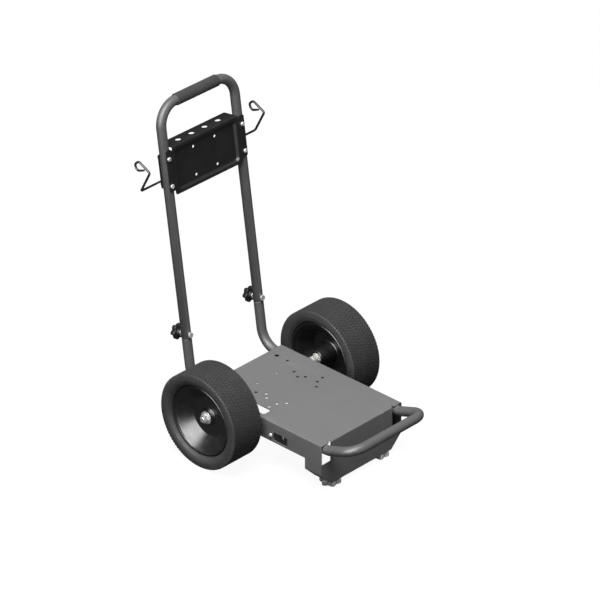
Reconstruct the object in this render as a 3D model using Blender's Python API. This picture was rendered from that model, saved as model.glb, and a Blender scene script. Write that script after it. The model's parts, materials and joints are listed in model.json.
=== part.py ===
"""Two-wheel torch cart: folded deck, bent-tube frame, lift-off handle, tool tray and hose hooks.

Metres, +Z up, -Y to the front bumper, X along the wheel axle, floor at z = 0.
"""
import math

import bmesh
import bpy
from mathutils import Matrix, Vector

# ---- driving dimensions --------------------------------------------------------------------
GAP = 0.0003                     # clearance between neighbouring pieces
SHEET = 0.002                    # folded sheet thickness

TUBE_RADIUS = 0.0127
TUBE_WALL = 0.0015
BEND_RADIUS = 0.057              # centre-line radius of the upright and handle bends
TUBE_SIDES = 12

WHEEL_RADIUS = 0.127
WHEEL_WIDTH = 0.0990
RIM_HALF = 0.0475                # half width of the hub with the tyre beads on it
TRACK_HALF = 0.2122              # wheel mid-plane to cart centre

DECK_HALF = 0.1435
DECK_TOP = 0.1355
DECK_FRONT = -0.306              # distances along Y are measured from the axle
DECK_REAR = 0.100
SKIRT_BOTTOM = 0.080
LEG_BOTTOM = 0.050
LEG_LENGTH = 0.055
FLANGE_BOTTOM = 0.015
FLANGE_OUTER = 0.108
FLANGE_INNER = 0.058
NOTCH_INNER = 0.110
RELIEF_WIDTH = 0.006             # slots that end the folds of the deck and tray

UPRIGHT_X = 0.1275
UPRIGHT_LEAN = math.radians(7.9)
UPRIGHT_BASE_Y = 0.151           # tube centre, at the height below
UPRIGHT_BASE_Z = 0.136
SEAM = 0.108                     # distances up the leaning uprights, from their base point
SPIGOT_TOP = 0.160
KNOB_HEIGHT = 0.119
HANDLE_TOP = 0.724
GRIP_RADIUS = 0.0153
GRIP_HALF = 0.0705

BUMPER_REACH = 0.399             # bumper bar centre ahead of the axle
BUMPER_RISE = math.radians(19.5)
BUMPER_BEND = 0.040
BUMPER_TAIL = -0.150             # rear end of the bumper legs under the deck

AXLE_RADIUS = 0.006
AXLE_HALF = 0.243

TRAY_SCREWS = (0.519, 0.5905)
TRAY_BOTTOM = 0.492
TRAY_TOP = 0.617
TRAY_SHEET = 0.0015
PAN_HALF = 0.106
PAN_FLOOR = 0.006                # back face of the pan floor, ahead of the tube centres
PAN_DRAFT = 0.005
HOOK_WIRE = 0.0030
HOOK_LEVELS = (0.527, 0.540)      # left and right

FOOT_X = 0.086
FOOT_Y = -0.282
PLATE_SCREW_Y = -0.136
PLATE_SCREW_Z = 0.097

# The origin sits mid-way between the bumper face and the back of the grip.
GRIP_BACK = UPRIGHT_BASE_Y + HANDLE_TOP * math.sin(UPRIGHT_LEAN) + GRIP_RADIUS
AXLE_Y = (BUMPER_REACH + TUBE_RADIUS - GRIP_BACK) / 2
AXLE_Z = WHEEL_RADIUS
TUBE_LEVEL = DECK_TOP - SHEET - GAP - TUBE_RADIUS


# ---- materials -----------------------------------------------------------------------------
def make_material(name, colour, metallic, roughness):
    """Make one plain surface."""
    surface = bpy.data.materials.new(name)
    surface.use_nodes = True
    shader = surface.node_tree.nodes["Principled BSDF"]
    shader.inputs["Base Color"].default_value = (*colour, 1.0)
    shader.inputs["Metallic"].default_value = metallic
    shader.inputs["Roughness"].default_value = roughness
    return surface


def make_materials():
    """Name every surface used on the cart."""
    table = {
        "deck_paint": ((0.20, 0.20, 0.20), 0.0, 0.45),
        "tube_paint": ((0.15, 0.15, 0.15), 0.0, 0.40),
        "tray_paint": ((0.018, 0.018, 0.018), 0.0, 0.40),
        "tyre_rubber": ((0.035, 0.035, 0.035), 0.0, 0.75),
        "hub_plastic": ((0.012, 0.012, 0.012), 0.0, 0.25),
        "grip_foam": ((0.055, 0.055, 0.055), 0.0, 0.85),
        "knob_plastic": ((0.015, 0.015, 0.015), 0.0, 0.45),
        "foot_rubber": ((0.22, 0.22, 0.22), 0.0, 0.65),
        "bush_nylon": ((0.55, 0.54, 0.50), 0.0, 0.40),
        "bright_zinc": ((0.72, 0.72, 0.72), 1.0, 0.25),
    }
    return {name: make_material(name, *values) for name, values in table.items()}


# ---- shape helpers -------------------------------------------------------------------------
def clear_scene():
    """Remove whatever the file opened with."""
    for old in list(bpy.data.objects):
        bpy.data.objects.remove(old, do_unlink=True)


def add_object(name, points, faces, material, placement=Matrix.Identity(4)):
    """Turn points and faces into one outward-facing object."""
    mesh = bpy.data.meshes.new(name)
    mesh.from_pydata([tuple(point) for point in points], [], faces)
    shell = bmesh.new()
    shell.from_mesh(mesh)
    bmesh.ops.recalc_face_normals(shell, faces=shell.faces)
    shell.to_mesh(mesh)
    shell.free()
    mesh.materials.append(material)
    part = bpy.data.objects.new(name, mesh)
    bpy.context.collection.objects.link(part)
    part.matrix_world = placement
    return part


def smooth(part, angle=math.radians(35)):
    """Shade the round faces smooth and keep the real edges sharp."""
    part.data.shade_smooth()
    part.data.set_sharp_from_angle(angle=angle)
    return part


def join_with(part, other, operation):
    """Apply one exact boolean and drop the second object."""
    step = part.modifiers.new("step", "BOOLEAN")
    step.operation = operation
    step.solver = "EXACT"
    step.object = other
    bpy.context.view_layer.update()
    result = part.evaluated_get(bpy.context.evaluated_depsgraph_get())
    mesh = bpy.data.meshes.new_from_object(result)
    part.modifiers.clear()
    part.data = mesh
    bpy.data.objects.remove(other, do_unlink=True)


def cut(part, *cutters):
    """Cut each of the other shapes out of the part."""
    for cutter in cutters:
        join_with(part, cutter, "DIFFERENCE")


def add(part, *others):
    """Merge each of the other shapes into the part."""
    for other in others:
        join_with(part, other, "UNION")


def prism(name, outline, low, high, material, placement, far_outline=None):
    """Extrude a flat outline along the local Z axis, straight or to a second outline."""
    count = len(outline)
    points = [(x, y, low) for x, y in outline]
    points += [(x, y, high) for x, y in far_outline or outline]
    faces = [tuple(range(count)), tuple(range(count, 2 * count))]
    for i in range(count):
        j = (i + 1) % count
        faces.append((i, j, j + count, i + count))
    return add_object(name, points, faces, material, placement)


def box(name, low, high, material, placement=Matrix.Identity(4)):
    """Make a block between two corners."""
    outline = [(low[0], low[1]), (high[0], low[1]), (high[0], high[1]), (low[0], high[1])]
    return prism(name, outline, low[2], high[2], material, placement)


def rounded_rectangle(low, high, radius, steps=3):
    """Outline of a rectangle with rounded corners."""
    corners = (
        (high[0] - radius, high[1] - radius, 0),
        (low[0] + radius, high[1] - radius, 90),
        (low[0] + radius, low[1] + radius, 180),
        (high[0] - radius, low[1] + radius, 270),
    )
    outline = []
    for x, y, start in corners:
        for step in range(steps + 1):
            angle = math.radians(start + 90 * step / steps)
            outline.append((x + radius * math.cos(angle), y + radius * math.sin(angle)))
    return outline


def ring_radius(shape, radius, angle):
    """Distance from the axis at one angle for a round, hexagonal or lobed section."""
    if shape == "hex":
        from_flat = (angle + math.pi / 6) % (math.pi / 3) - math.pi / 6
        return radius / math.cos(math.pi / 6 - abs(from_flat))
    if shape == "lobed":
        return radius * (0.88 + 0.12 * math.cos(6 * angle))
    return radius


def turned(name, rings, material, placement, segments=24, closed=False):
    """Join rings of (distance along local Z, radius, shape) into one solid."""
    points = []
    starts = []
    for along, radius, shape in rings:
        starts.append(len(points))
        if radius == 0:
            points.append((0, 0, along))
            continue
        for i in range(segments):
            angle = 2 * math.pi * i / segments
            reach = ring_radius(shape, radius, angle)
            points.append((reach * math.cos(angle), reach * math.sin(angle), along))
    faces = []
    last = len(rings) if closed else len(rings) - 1
    for k in range(last):
        here, there = k, (k + 1) % len(rings)
        for i in range(segments):
            j = (i + 1) % segments
            if rings[here][1] == 0:
                faces.append((starts[here], starts[there] + i, starts[there] + j))
            elif rings[there][1] == 0:
                faces.append((starts[here] + i, starts[here] + j, starts[there]))
            else:
                faces.append((starts[here] + i, starts[here] + j,
                              starts[there] + j, starts[there] + i))
    return smooth(add_object(name, points, faces, material, placement))


def round_rings(pairs):
    """Mark every ring of a profile as round."""
    return [(along, radius, "round") for along, radius in pairs]


def pin(name, radius, low, high, material, placement, segments=16):
    """Plain round rod along the local Z axis."""
    rings = round_rings([(low, 0), (low, radius), (high, radius), (high, 0)])
    return turned(name, rings, material, placement, segments)


def filleted_path(corners, radii, steps=6):
    """Points of a centre line whose inner corners are rounded."""
    corners = [Vector(corner) for corner in corners]
    path = [corners[0]]
    for before, corner, after, radius in zip(corners, corners[1:], corners[2:], radii):
        back = (before - corner).normalized()
        ahead = (after - corner).normalized()
        half = back.angle(ahead) / 2
        reach = radius / math.tan(half)
        centre = corner + (back + ahead).normalized() * radius / math.sin(half)
        start = corner + back * reach - centre
        end = corner + ahead * reach - centre
        sweep = start.angle(end)
        normal = start.cross(end).normalized()
        for step in range(steps + 1):
            turn = Matrix.Rotation(sweep * step / steps, 3, normal)
            path.append(centre + turn @ start)
    path.append(corners[-1])
    return path


def swept(name, path, outer, inner, material, sides=TUBE_SIDES):
    """Sweep a round section along a path; inner radii make it an open-ended tube."""
    points = []
    across = None
    for i, place in enumerate(path):
        before = path[max(i - 1, 0)]
        after = path[min(i + 1, len(path) - 1)]
        into = (place - before).normalized() if i else (after - place).normalized()
        out = (after - place).normalized() if i < len(path) - 1 else into
        tangent = (into + out).normalized()
        if across is None:
            across = Vector((1, 0, 0)) if abs(tangent.x) < 0.9 else Vector((0, 1, 0))
        across = (across - tangent * across.dot(tangent)).normalized()
        other = tangent.cross(across)
        radii = (outer[i], inner[i]) if inner else (outer[i],)
        for radius in radii:
            for k in range(sides):
                angle = 2 * math.pi * k / sides
                points.append(place + (across * math.cos(angle) + other * math.sin(angle)) * radius)
    walls = 2 if inner else 1
    stride = walls * sides
    faces = []
    for wall in range(walls):
        for i in range(len(path) - 1):
            first = i * stride + wall * sides
            for k in range(sides):
                m = (k + 1) % sides
                faces.append((first + k, first + m, first + stride + m, first + stride + k))
    end = (len(path) - 1) * stride
    for first in (0, end):
        if inner:
            for k in range(sides):
                m = (k + 1) % sides
                faces.append((first + k, first + m, first + sides + m, first + sides + k))
        else:
            faces.append(tuple(range(first, first + sides)))
    return smooth(add_object(name, points, faces, material))


def at(x, y, z):
    """Placement for a piece whose local axes match the cart, Y measured from the axle."""
    return Matrix.Translation((x, AXLE_Y + y, z))


def along_x(side, y, z):
    """Placement that points the local Z axis outward along the axle on one side."""
    return at(0, y, z) @ Matrix.Rotation(side * math.pi / 2, 4, "Y")


def upright_frame():
    """Placement of the leaning plane: X across, local Y forward, local Z up the tubes."""
    up = Vector((0, math.sin(UPRIGHT_LEAN), math.cos(UPRIGHT_LEAN)))
    forward = Vector((0, -math.cos(UPRIGHT_LEAN), math.sin(UPRIGHT_LEAN)))
    across = forward.cross(up)
    turn = Matrix((across, forward, up)).transposed().to_4x4()
    return at(0, UPRIGHT_BASE_Y, UPRIGHT_BASE_Z) @ turn


def on_upright(x, forward, up):
    """World point given in the leaning plane."""
    mirrored = upright_frame() @ Vector((-x, forward, up))
    return mirrored


def upright_axis(side, forward, up):
    """Placement on one upright with the local Z axis pointing forward, square to the tube."""
    place = Matrix.Translation(on_upright(side * UPRIGHT_X, forward, up))
    return place @ Matrix.Rotation(math.pi / 2 - UPRIGHT_LEAN, 4, "X")


# ---- deck ----------------------------------------------------------------------------------
def deck_section(inset):
    """Hexagonal cross-section of the deck and its legs, seen along the cart."""
    half = DECK_HALF - inset
    slope = inset * math.tan(math.pi / 8)
    return [
        (-half, DECK_TOP - inset),
        (half, DECK_TOP - inset),
        (half, LEG_BOTTOM + slope),
        (FLANGE_OUTER - slope, FLANGE_BOTTOM + inset),
        (-FLANGE_OUTER + slope, FLANGE_BOTTOM + inset),
        (-half, LEG_BOTTOM + slope),
    ]


def deck_length(name, inset, front, rear, material):
    """Extrude the cross-section between two distances from the axle."""
    placement = at(0, 0, 0) @ Matrix.Rotation(math.pi / 2, 4, "X")
    return prism(name, deck_section(inset), -rear, -front, material, placement)


def deck_holes(material):
    """Equipment mounting holes, mirrored about the centre line."""
    pattern = (
        (0.095, 0.0715, 0.0060),
        (0.095, 0.035, 0.0040),
        (0.095, -0.085, 0.0040),
        (0.068, -0.014, 0.0040),
        (0.056, -0.037, 0.0040),
        (0.069, -0.051, 0.0040),
        (0.072, -0.089, 0.0040),
        (0.053, -0.104, 0.0040),
        (0.034, 0.014, 0.0030),
    )
    holes = []
    for x, y, radius in pattern:
        for side in (-1, 1):
            place = at(side * x, y, 0)
            holes.append(pin("hole", radius, DECK_TOP - 0.01, DECK_TOP + 0.01, material, place, 12))
    return holes


def make_deck(look):
    """Fold the deck, skirts, front panel and front legs from one sheet."""
    paint = look["deck_paint"]
    deck = deck_length("deck_plate", 0, DECK_FRONT, DECK_REAR, paint)
    cut(deck, deck_length("hollow", SHEET, DECK_FRONT + SHEET, DECK_REAR + 0.01, paint))
    wide = DECK_HALF + 0.01
    behind = DECK_REAR + 0.02
    inside = DECK_FRONT + SHEET
    cut(deck, box("between_legs", (-FLANGE_INNER, inside, 0), (FLANGE_INNER, behind, 0.03),
                  paint, at(0, 0, 0)))
    cut(deck, box("below_skirts", (-wide, DECK_FRONT + LEG_LENGTH, 0), (wide, behind, SKIRT_BOTTOM),
                  paint, at(0, 0, 0)))
    for side in (-1, 1):
        low, high = sorted((side * NOTCH_INNER, side * (DECK_HALF - SHEET)))
        cut(deck, box("notch", (low, DECK_FRONT - 0.01, SKIRT_BOTTOM),
                      (high, DECK_FRONT + SHEET + 0.001, DECK_TOP - SHEET), paint, at(0, 0, 0)))
        cut(deck, pin("axle_hole", AXLE_RADIUS + GAP, DECK_HALF - 0.01, DECK_HALF + 0.01,
                      paint, along_x(side, 0, AXLE_Z)))
        cut(deck, pin("plate_hole", 0.0033, DECK_HALF - 0.01, DECK_HALF + 0.01,
                      paint, along_x(side, PLATE_SCREW_Y, PLATE_SCREW_Z), 12))
        cut(deck, pin("foot_hole", 0.0033, 0, 0.03, paint, at(side * FOOT_X, FOOT_Y, 0), 12))
        window = side_outline(side, (0.085, 0.109), (-0.192, -0.145), 0.004)
        cut(deck, prism("window", window, DECK_HALF - 0.01, DECK_HALF + 0.01, paint,
                        side_frame(side)))
        low, high = sorted((side * NOTCH_INNER, side * (NOTCH_INNER + RELIEF_WIDTH)))
        relief = rounded_rectangle((low, DECK_FRONT - 0.01), (high, DECK_FRONT + 0.0055), 0.0026)
        cut(deck, prism("fold_relief", relief, DECK_TOP - 0.01, DECK_TOP + 0.01, paint,
                        at(0, 0, 0)))
    slot = rounded_rectangle((-0.131, -0.101), (-0.105, -0.050), 0.006)
    cut(deck, prism("hose_slot", slot, DECK_TOP - 0.01, DECK_TOP + 0.01, paint, at(0, 0, 0)))
    cut(deck, *deck_holes(paint))
    return deck


def side_frame(side):
    """Placement on a skirt: local Z points outward, local Y back, local X up or down."""
    return at(0, 0, 0) @ Matrix.Rotation(side * math.pi / 2, 4, "Y")


def side_outline(side, heights, distances, radius):
    """Rounded outline on a skirt, given its heights and its distances from the axle."""
    low, high = sorted(-side * height for height in heights)
    return rounded_rectangle((low, distances[0]), (high, distances[1]), radius, 2)


def make_blanking_plates(look):
    """Ribbed plates screwed inside the skirts behind the side windows."""
    paint = look["tray_paint"]
    inner = DECK_HALF - SHEET - GAP
    for side, label in ((-1, "left"), (1, "right")):
        frame = side_frame(side)
        outline = side_outline(side, (0.082, 0.112), (-0.197, -0.125), 0.003)
        plate = prism(label + "_blanking_plate", outline, inner - SHEET, inner, paint, frame)
        rib = side_outline(side, (0.0875, 0.1065), (-0.179, -0.169), 0.002)
        add(plate, prism("rib", rib, inner - SHEET / 2, DECK_HALF - 0.0005, paint, frame))
        axis = along_x(side, PLATE_SCREW_Y, PLATE_SCREW_Z)
        cut(plate, pin("hole", 0.0033, inner - 0.01, inner + 0.01, paint, axis, 12))
        back = inner - SHEET - GAP
        add_screw(label + "_plate_screw", DECK_HALF + GAP, back - 0.0072, 0.003, 0.0055, 0.0035,
                  look, axis)
        add_nut(label + "_plate_nut", back - 0.005, back, 0.005, 0.003, look, axis)


def add_screw(name, seat, tip, radius, head_radius, head_height, look, placement):
    """Pan-head screw: the head sits outside the seat and the shank runs back to the tip."""
    rings = round_rings([
        (tip, 0),
        (tip, radius),
        (seat, radius),
        (seat, head_radius),
        (seat + head_height * 0.55, head_radius),
        (seat + head_height, head_radius * 0.6),
        (seat + head_height, 0),
    ])
    return turned(name, rings, look["bright_zinc"], placement, 12)


def add_nut(name, low, high, flat_radius, thread_radius, look, placement):
    """Hexagon nut between two levels."""
    bore = thread_radius + GAP
    rings = [
        (low, bore, "round"),
        (low, flat_radius, "hex"),
        (high, flat_radius, "hex"),
        (high, bore, "round"),
    ]
    return turned(name, rings, look["bright_zinc"], placement, 12, closed=True)


def make_feet(look):
    """Scalloped pads bolted under the two front legs."""
    for side, label in ((-1, "left"), (1, "right")):
        place = at(side * FOOT_X, FOOT_Y, 0)
        top = FLANGE_BOTTOM - GAP
        rings = [
            (0.007, 0.0033, "round"),
            (0.007, 0.0070, "round"),
            (0.0, 0.0070, "round"),
            (0.0, 0.0255, "lobed"),
            (0.002, 0.0275, "lobed"),
            (top - 0.003, 0.0275, "lobed"),
            (top, 0.0220, "round"),
            (top, 0.0033, "round"),
        ]
        turned(label + "_front_foot", rings, look["foot_rubber"], place, 24, closed=True)
        flip = place @ Matrix.Rotation(math.pi, 4, "X")
        add_screw(label + "_foot_screw", -0.007 + GAP, -0.026, 0.003, 0.006, 0.0035, look, flip)
        add_nut(label + "_foot_nut", FLANGE_BOTTOM + SHEET + GAP, FLANGE_BOTTOM + SHEET + 0.0055,
                0.005, 0.003, look, place)


# ---- tubes ---------------------------------------------------------------------------------
def make_bumper(look):
    """Bent loop that runs out through the front notches and rises ahead of the deck."""
    lift_start = DECK_FRONT - 0.0095
    run = BUMPER_REACH + lift_start
    top = TUBE_LEVEL + run * math.tan(BUMPER_RISE)
    corners = []
    for side in (-1, 1):
        half = [
            (side * UPRIGHT_X, AXLE_Y + BUMPER_TAIL, TUBE_LEVEL),
            (side * UPRIGHT_X, AXLE_Y + lift_start, TUBE_LEVEL),
            (side * UPRIGHT_X, AXLE_Y - BUMPER_REACH, top),
        ]
        corners += half if side < 0 else half[::-1]
    radii = (0.050, BUMPER_BEND, BUMPER_BEND, 0.050)
    path = filleted_path(corners, radii, 4)
    outer = [TUBE_RADIUS] * len(path)
    inner = [TUBE_RADIUS - TUBE_WALL] * len(path)
    return swept("bumper_tube", path, outer, inner, look["tube_paint"])


def cross_holes(levels, radius, material, side):
    """Fore-and-aft drill through one upright at each level."""
    drills = []
    for up in levels:
        drills.append(pin("drill", radius, -0.02, 0.02, material, upright_axis(side, 0, up), 12))
    return drills


def make_lower_uprights(look):
    """Short bent tubes from under the deck up to the handle joint, with swaged spigots."""
    paint = look["tube_paint"]
    knee_y = UPRIGHT_BASE_Y + (TUBE_LEVEL - UPRIGHT_BASE_Z) * math.tan(UPRIGHT_LEAN)
    for side, label in ((-1, "left"), (1, "right")):
        x = side * UPRIGHT_X
        corners = [
            (x, AXLE_Y + 0.022, TUBE_LEVEL),
            (x, AXLE_Y + knee_y, TUBE_LEVEL),
            on_upright(x, 0, SEAM - GAP),
        ]
        path = filleted_path(corners, (BEND_RADIUS,), 5)
        outer = [TUBE_RADIUS] * len(path)
        inner = [TUBE_RADIUS - TUBE_WALL] * len(path)
        for up, radius in ((SEAM + 0.001, 0.0108), (SPIGOT_TOP, 0.0108)):
            path.append(on_upright(x, 0, up))
            outer.append(radius)
            inner.append(radius - TUBE_WALL)
        tube = swept(label + "_lower_upright", path, outer, inner, paint)
        cut(tube, *cross_holes((KNOB_HEIGHT,), 0.0044, paint, side))
        smooth(tube)


def make_handle(look):
    """Upper frame: one tube bent into a tall U that drops over the spigots."""
    paint = look["tube_paint"]
    foot = SEAM + 0.0018
    corners = [
        on_upright(-UPRIGHT_X, 0, foot),
        on_upright(-UPRIGHT_X, 0, HANDLE_TOP),
        on_upright(UPRIGHT_X, 0, HANDLE_TOP),
        on_upright(UPRIGHT_X, 0, foot),
    ]
    path = filleted_path(corners, (BEND_RADIUS, BEND_RADIUS), 6)
    outer = [TUBE_RADIUS] * len(path)
    inner = [TUBE_RADIUS - TUBE_WALL] * len(path)
    tube = swept("handle_tube", path, outer, inner, paint)
    for side in (-1, 1):
        cut(tube, *cross_holes((KNOB_HEIGHT,), 0.0044, paint, side))
        cut(tube, *cross_holes(TRAY_SCREWS, 0.0034, paint, side))
    smooth(tube)
    middle = on_upright(0, 0, HANDLE_TOP)
    inner_radius = TUBE_RADIUS + GAP
    rings = round_rings([
        (-GRIP_HALF, inner_radius),
        (-GRIP_HALF, GRIP_RADIUS - 0.0015),
        (-GRIP_HALF + 0.002, GRIP_RADIUS),
        (GRIP_HALF - 0.002, GRIP_RADIUS),
        (GRIP_HALF, GRIP_RADIUS - 0.0015),
        (GRIP_HALF, inner_radius),
    ])
    place = Matrix.Translation(middle) @ Matrix.Rotation(math.pi / 2, 4, "Y")
    turned("handle_grip", rings, look["grip_foam"], place, 16, closed=True)


def make_knobs(look):
    """Through bolts with star knobs that clamp the handle to the spigots."""
    seat = TUBE_RADIUS + GAP
    washer = 0.0015
    for side, label in ((-1, "left"), (1, "right")):
        axis = upright_axis(side, 0, KNOB_HEIGHT)
        bolt = [
            (-0.034, 0, "round"),
            (-0.034, 0.004, "round"),
            (seat, 0.004, "round"),
            (seat, 0.0065, "hex"),
            (seat + 0.0053, 0.0065, "hex"),
            (seat + 0.0053, 0, "round"),
        ]
        turned(label + "_handle_bolt", bolt, look["bright_zinc"], axis, 12)
        ring = round_rings([
            (-seat - washer, 0.0043),
            (-seat - washer, 0.009),
            (-seat, 0.009),
            (-seat, 0.0043),
        ])
        turned(label + "_knob_washer", ring, look["bright_zinc"], axis, 16, closed=True)
        face = -seat - washer - GAP
        rings = [
            (-0.0352, 0, "round"),
            (-0.0352, 0.0043, "round"),
            (face, 0.0043, "round"),
            (face, 0.0095, "round"),
            (face - 0.006, 0.0100, "round"),
            (face - 0.008, 0.0190, "lobed"),
            (face - 0.010, 0.0205, "lobed"),
            (face - 0.020, 0.0205, "lobed"),
            (face - 0.023, 0.0180, "lobed"),
            (face - 0.024, 0, "round"),
        ]
        turned(label + "_star_knob", rings, look["knob_plastic"], axis, 24)


# ---- wheels --------------------------------------------------------------------------------
def mirrored_profile(half_profile):
    """Close a half profile, listed from the outer face inward, with its mirror image."""
    return half_profile + [(-along, radius) for along, radius in reversed(half_profile)]


def make_wheels(look):
    """Rubber tyres on deep-dish hubs that run on the axle through flanged bushes."""
    face = WHEEL_WIDTH / 2
    boss_out = 0.2257 - TRACK_HALF
    boss_in = 0.1650 - TRACK_HALF
    tyre = round_rings(mirrored_profile([
        (RIM_HALF - 0.0128, 0.0883),
        (RIM_HALF - 0.0128, 0.0953),
        (RIM_HALF - 0.0065, 0.0953),
        (face - 0.0025, 0.1020),
        (face, 0.1100),
        (face - 0.0006, 0.1190),
        (face - 0.0015, 0.1245),
        (face - 0.0035, WHEEL_RADIUS),
    ])[::-1])
    lip = [
        (RIM_HALF - 0.0115, 0.0868),
        (RIM_HALF - 0.0085, 0.0885),
        (RIM_HALF - 0.0085, 0.0907),
        (RIM_HALF - 0.0120, 0.0935),
        (RIM_HALF - 0.0120, 0.0950),
        (RIM_HALF - 0.0125, 0.0950),
        (RIM_HALF - 0.0125, 0.0880),
    ]
    outer_dish = [
        (boss_out, 0.0104),
        (boss_out, 0.0200),
        (RIM_HALF - 0.0400, 0.0230),
        (RIM_HALF - 0.0400, 0.0520),
        (RIM_HALF - 0.0180, 0.0780),
    ]
    inner_lip = [(-along, radius) for along, radius in reversed(lip)]
    inner_dish = [
        (-RIM_HALF + 0.0180, 0.0780),
        (-RIM_HALF + 0.0470, 0.0540),
        (-RIM_HALF + 0.0480, 0.0250),
        (boss_in, 0.0190),
        (boss_in, 0.0104),
    ]
    hub = round_rings(outer_dish + lip + inner_lip + inner_dish)
    for side, label in ((-1, "left"), (1, "right")):
        axis = along_x(side, 0, AXLE_Z) @ Matrix.Translation((0, 0, TRACK_HALF))
        turned(label + "_wheel_tyre", tyre, look["tyre_rubber"], axis, 32, closed=True)
        turned(label + "_wheel_hub", hub, look["hub_plastic"], axis, 32, closed=True)
        for end, way, where in ((boss_out, 1, "outer"), (boss_in, -1, "inner")):
            bush = round_rings([
                (end - way * 0.018, AXLE_RADIUS + GAP),
                (end - way * 0.018, 0.0100),
                (end + way * GAP, 0.0100),
                (end + way * GAP, 0.0135),
                (end + way * (GAP + 0.002), 0.0135),
                (end + way * (GAP + 0.002), AXLE_RADIUS + GAP),
            ])
            turned(f"{label}_{where}_bush", bush, look["bush_nylon"], axis, 16, closed=True)


def make_axle(look):
    """Plain axle with spacers inside the wheels and washers and nuts outside."""
    zinc = look["bright_zinc"]
    pin("axle_rod", AXLE_RADIUS, -AXLE_HALF, AXLE_HALF, zinc, along_x(1, 0, AXLE_Z), 16)
    bore = AXLE_RADIUS + GAP
    for side, label in ((-1, "left"), (1, "right")):
        axis = along_x(side, 0, AXLE_Z)
        sleeve = round_rings([
            (DECK_HALF + GAP, bore),
            (DECK_HALF + GAP, 0.0105),
            (0.1624, 0.0105),
            (0.1624, bore),
        ])
        turned(label + "_axle_spacer", sleeve, zinc, axis, 16, closed=True)
        washer = round_rings([
            (0.2283, bore),
            (0.2283, 0.0165),
            (0.2308, 0.0165),
            (0.2308, bore),
        ])
        turned(label + "_axle_washer", washer, zinc, axis, 16, closed=True)
        add_nut(label + "_axle_nut", 0.2311, 0.2411, 0.0095, AXLE_RADIUS, look, axis)


# ---- tray and hooks ------------------------------------------------------------------------
def leaning_prism(name, outline, low, high, material, back_outline=None):
    """Extrude an (across, up) outline through the leaning plane, from low to high forward."""
    placement = upright_frame() @ Matrix.Rotation(math.pi / 2, 4, "X")
    return prism(name, outline, -high, -low, material, placement, back_outline)


def pan_outline(shrink):
    """Rounded outline of the tray pan, drawn in by some distance from its mouth."""
    low = (-PAN_HALF + shrink, TRAY_BOTTOM + 0.0075 + shrink)
    high = (PAN_HALF - shrink, TRAY_TOP - 0.009 - shrink)
    return rounded_rectangle(low, high, 0.011)


def make_tray(look):
    """Pressed tray with a shallow pan in front, side ears and a perforated top shelf."""
    paint = look["tray_paint"]
    back = TUBE_RADIUS + GAP
    front = back + TRAY_SHEET
    body = rounded_rectangle((-0.117, TRAY_BOTTOM), (0.117, TRAY_TOP), 0.008)
    tray = leaning_prism("tool_tray", body, back, front, paint)
    ears = rounded_rectangle((-0.135, TRAY_SCREWS[0] - 0.014), (0.135, TRAY_SCREWS[1] + 0.0235),
                             0.005)
    add(tray, leaning_prism("ears", ears, back, front, paint))
    wall = TRAY_SHEET
    add(tray, leaning_prism("pan", pan_outline(-wall), PAN_FLOOR, front, paint,
                            pan_outline(PAN_DRAFT - wall)))
    shelf = rounded_rectangle((-0.113, -0.031), (0.113, front), 0.003)
    add(tray, prism("shelf", shelf, TRAY_TOP - TRAY_SHEET, TRAY_TOP, paint, upright_frame()))
    cut(tray, leaning_prism("hollow", pan_outline(-0.001), PAN_FLOOR + wall, front + 0.001, paint,
                            pan_outline(PAN_DRAFT)))
    for side in (-1, 1):
        cut(tray, *cross_holes(TRAY_SCREWS, 0.0034, paint, side))
        low, high = sorted((side * 0.1134, side * (0.1134 + RELIEF_WIDTH)))
        relief = rounded_rectangle((low, 0.6095), (high, 0.630), 0.0029)
        cut(tray, leaning_prism("fold_relief", relief, back - 0.001, front + 0.001, paint))
        for up in (0.516, 0.590):
            place = upright_axis(side, 0, up) @ Matrix.Translation((side * (0.037 - UPRIGHT_X), 0, 0))
            cut(tray, pin("floor_hole", 0.0035, -0.01, 0.01, paint, place, 12))
        for across in (0.0228, 0.0688):
            place = upright_frame() @ Matrix.Translation((side * across, -0.0095, 0))
            cut(tray, pin("tip_hole", 0.0075, TRAY_TOP - 0.01, TRAY_TOP + 0.01, paint, place, 16))
    return tray


def make_hook_brackets(look):
    """Flat bars behind the uprights that carry the hose hooks."""
    paint = look["tray_paint"]
    front = -TUBE_RADIUS - GAP
    thick = 0.003
    for side, label in ((-1, "left"), (1, "right")):
        low, high = sorted((-side * (UPRIGHT_X - 0.0125), -side * (UPRIGHT_X + 0.0085)))
        outline = rounded_rectangle((low, TRAY_SCREWS[0] - 0.010), (high, TRAY_SCREWS[1] + 0.008),
                                    0.004, 2)
        bar = leaning_prism(label + "_hook_bracket", outline, front - thick, front, paint)
        cut(bar, *cross_holes(TRAY_SCREWS, 0.0034, paint, side))
        for up, level in zip(TRAY_SCREWS, ("lower", "upper")):
            axis = upright_axis(side, 0, up)
            head = TUBE_RADIUS + GAP + TRAY_SHEET + GAP
            add_screw(f"{label}_{level}_tray_screw", head, front - thick - 0.0068, 0.003, 0.006,
                      0.0035, look, axis)
            add_nut(f"{label}_{level}_tray_nut", front - thick - GAP - 0.005,
                    front - thick - GAP, 0.005, 0.003, look, axis)


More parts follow.
